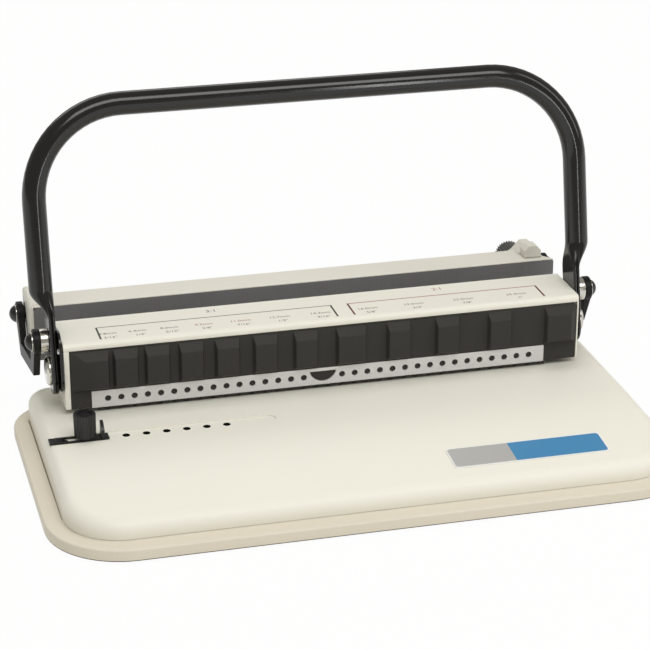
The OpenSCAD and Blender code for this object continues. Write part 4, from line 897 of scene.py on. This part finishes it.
pick(knob, "VERT", lambda v: near(v.co.z, KNOB_BODY))
bpy.ops.transform.resize(value=(KNOB_TAPER, KNOB_TAPER, 1), center_override=KNOB_MIDDLE * MM)
pick(knob, "FACE", lambda f: f.normal.z > 0.9)
bpy.ops.mesh.inset(thickness=0.5 * MM, depth=0.01 * MM)
for thickness, depth in ((1.3, 0), (0.2, -0.9), (1.5, 0), (0.2, 0.5)):
    bpy.ops.mesh.inset(thickness=thickness * MM, depth=depth * MM)
pick(knob, "FACE", lambda f: f.normal.z < -0.9)
for thickness, fall in ((1.6, KNOB_BODY - KNOB_FOOT), (2.3, KNOB_FOOT - KNOB_LOW.z)):
    bpy.ops.mesh.inset(thickness=thickness * MM)
    bpy.ops.mesh.extrude_region_move(TRANSFORM_OT_translate={"value": (0, 0, -fall * MM)})
hand_over(knob, "knob", "dark_plastic", ["guide_knob"], smooth=24)

# %% [markdown]
# ## The label plate
# A bare plate lies on the front curve: a white edge, a silver part and a blue part. Each layer is a thin box that is
# sliced into rows and let down onto the same curve as the table.

# %% Label layers
LABEL_LOW, LABEL_HIGH = [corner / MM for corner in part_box("label_plate")]
LABEL_SPLIT, BORDER, LABEL_CORNER, LABEL_ROWS = 86.5, 0.9, 2, 6
LABEL_GAP, LABEL_T, COLOUR_LIFT, COLOUR_T = 0.02, 0.5, 0.48, 0.1


def label_layer(name, x0, x1, inset, base, thick, finish, nodes=(), corners=()):
    front, rear = LABEL_LOW.y + inset, LABEL_HIGH.y - inset
    layer = box_piece(name, (x0, front, TABLE_TOP + base), (x1, rear, TABLE_TOP + base + thick))
    pick(layer, "EDGE", lambda e: runs_along(e, "z") and any(near(e.verts[0].co.x, x) for x in corners))
    round_off(LABEL_CORNER, 6)
    slice_rows(layer, [front + (rear - front) * i / LABEL_ROWS for i in range(1, LABEL_ROWS)])
    lower_rows(layer, 0)
    hand_over(layer, "base", "label", nodes, finish)


left, right = LABEL_LOW.x, LABEL_HIGH.x
label_layer("label_base", left, right, 0, LABEL_GAP, LABEL_T, finishes["label"], ["label_plate"], (left, right))
left, right = left + BORDER, right - BORDER
label_layer("label_left", left, LABEL_SPLIT, BORDER, COLOUR_LIFT, COLOUR_T, label_silver, (), (left,))
label_layer("label_right", LABEL_SPLIT, right, BORDER, COLOUR_LIFT, COLOUR_T, label_blue, (), (right,))

# %% [markdown]
# ## The printed wire scale
# The head's top carries a printed scale that names the wire size for every gauge channel. Print is thin ink, so
# each line is a low block and each number a text that is turned into a mesh, lying a few hundredths of a millimetre
# above the paint.

# %% Brackets of the scale
HEAD_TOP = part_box("head_cover")[1].z / MM
INK, INK_ROOT = 0.06, 0.05
INK_LOW, INK_HIGH = HEAD_TOP - INK_ROOT, HEAD_TOP + INK
BACK_LINE, LEG_END = 43.5, 24.7
RAIL_W, LEG_W = 0.8, 1.2


def bracket(name, left, right, finish, leg_finish):
    rail = box_piece(name, (left, BACK_LINE, INK_LOW), (right, BACK_LINE + RAIL_W, INK_HIGH))
    hand_over(rail, "base", "cream_paint", finish=finish)
    for side, x in (("left", left), ("right", right - LEG_W)):
        leg = box_piece(f"{name}_{side}", (x, LEG_END, INK_LOW), (x + LEG_W, BACK_LINE, INK_HIGH))
        hand_over(leg, "base", "cream_paint", finish=leg_finish)


bracket("scale_black", -146.1, 8.3, grey_ink, black_ink)
bracket("scale_red", 18.4, 148.2, red_ink, dark_red_ink)

# %% Numbers of the scale
MM_ROW, INCH_ROW, INCH_SHIFT = 33, 26.5, 1
NUMBER_H, PITCH_H = 4.2, 6


def printed(name, words, x, y, height, finish):
    object_mode()
    bpy.ops.object.select_all(action="DESELECT")
    bpy.ops.object.text_add(location=(x * MM, y * MM, HEAD_TOP * MM))
    text = bpy.context.object
    text.data.body = words
    text.data.size = height * MM
    text.data.align_x, text.data.align_y = "CENTER", "CENTER"
    text.data.resolution_u = 2
    text.data.extrude = INK / 2 * MM
    bpy.ops.object.convert(target="MESH")
    piece = settle(name)
    hand_over(piece, "base", "cream_paint", finish=finish)


WIRES = [
    (-139.9, "4.8", '3/16"'), (-120.9, "6.4", '1/4"'), (-100.5, "8.0", '5/16"'), (-78.2, "9.5", '3/8"'),
    (-54.4, "11.0", '7/16"'), (-28.9, "12.7", '1/2"'), (-1.9, "14.3", '9/16"'), (29.7, "16.0", '5/8"'),
    (60.6, "19.0", '3/4"'), (94.3, "22.0", '7/8"'), (130.6, "25.4", '1"'),
]
BOTH_PITCHES = ("9.5", "11.0")
for i, (x, millimetres, inches) in enumerate(WIRES):
    ink = red_ink if millimetres in BOTH_PITCHES else grey_ink
    printed(f"scale_mm_{i}", millimetres + "mm", x, MM_ROW, NUMBER_H, ink)
    printed(f"scale_inch_{i}", inches, x + INCH_SHIFT, INCH_ROW, NUMBER_H, grey_ink)
printed("scale_three", "3:1", -69.3, 53.7, PITCH_H, grey_ink)
printed("scale_two", "2:1", 83, 54.3, PITCH_H, red_ink)

# %% [markdown]
# ## Finish
# The script ends in object mode.

# %% Finish
object_mode()
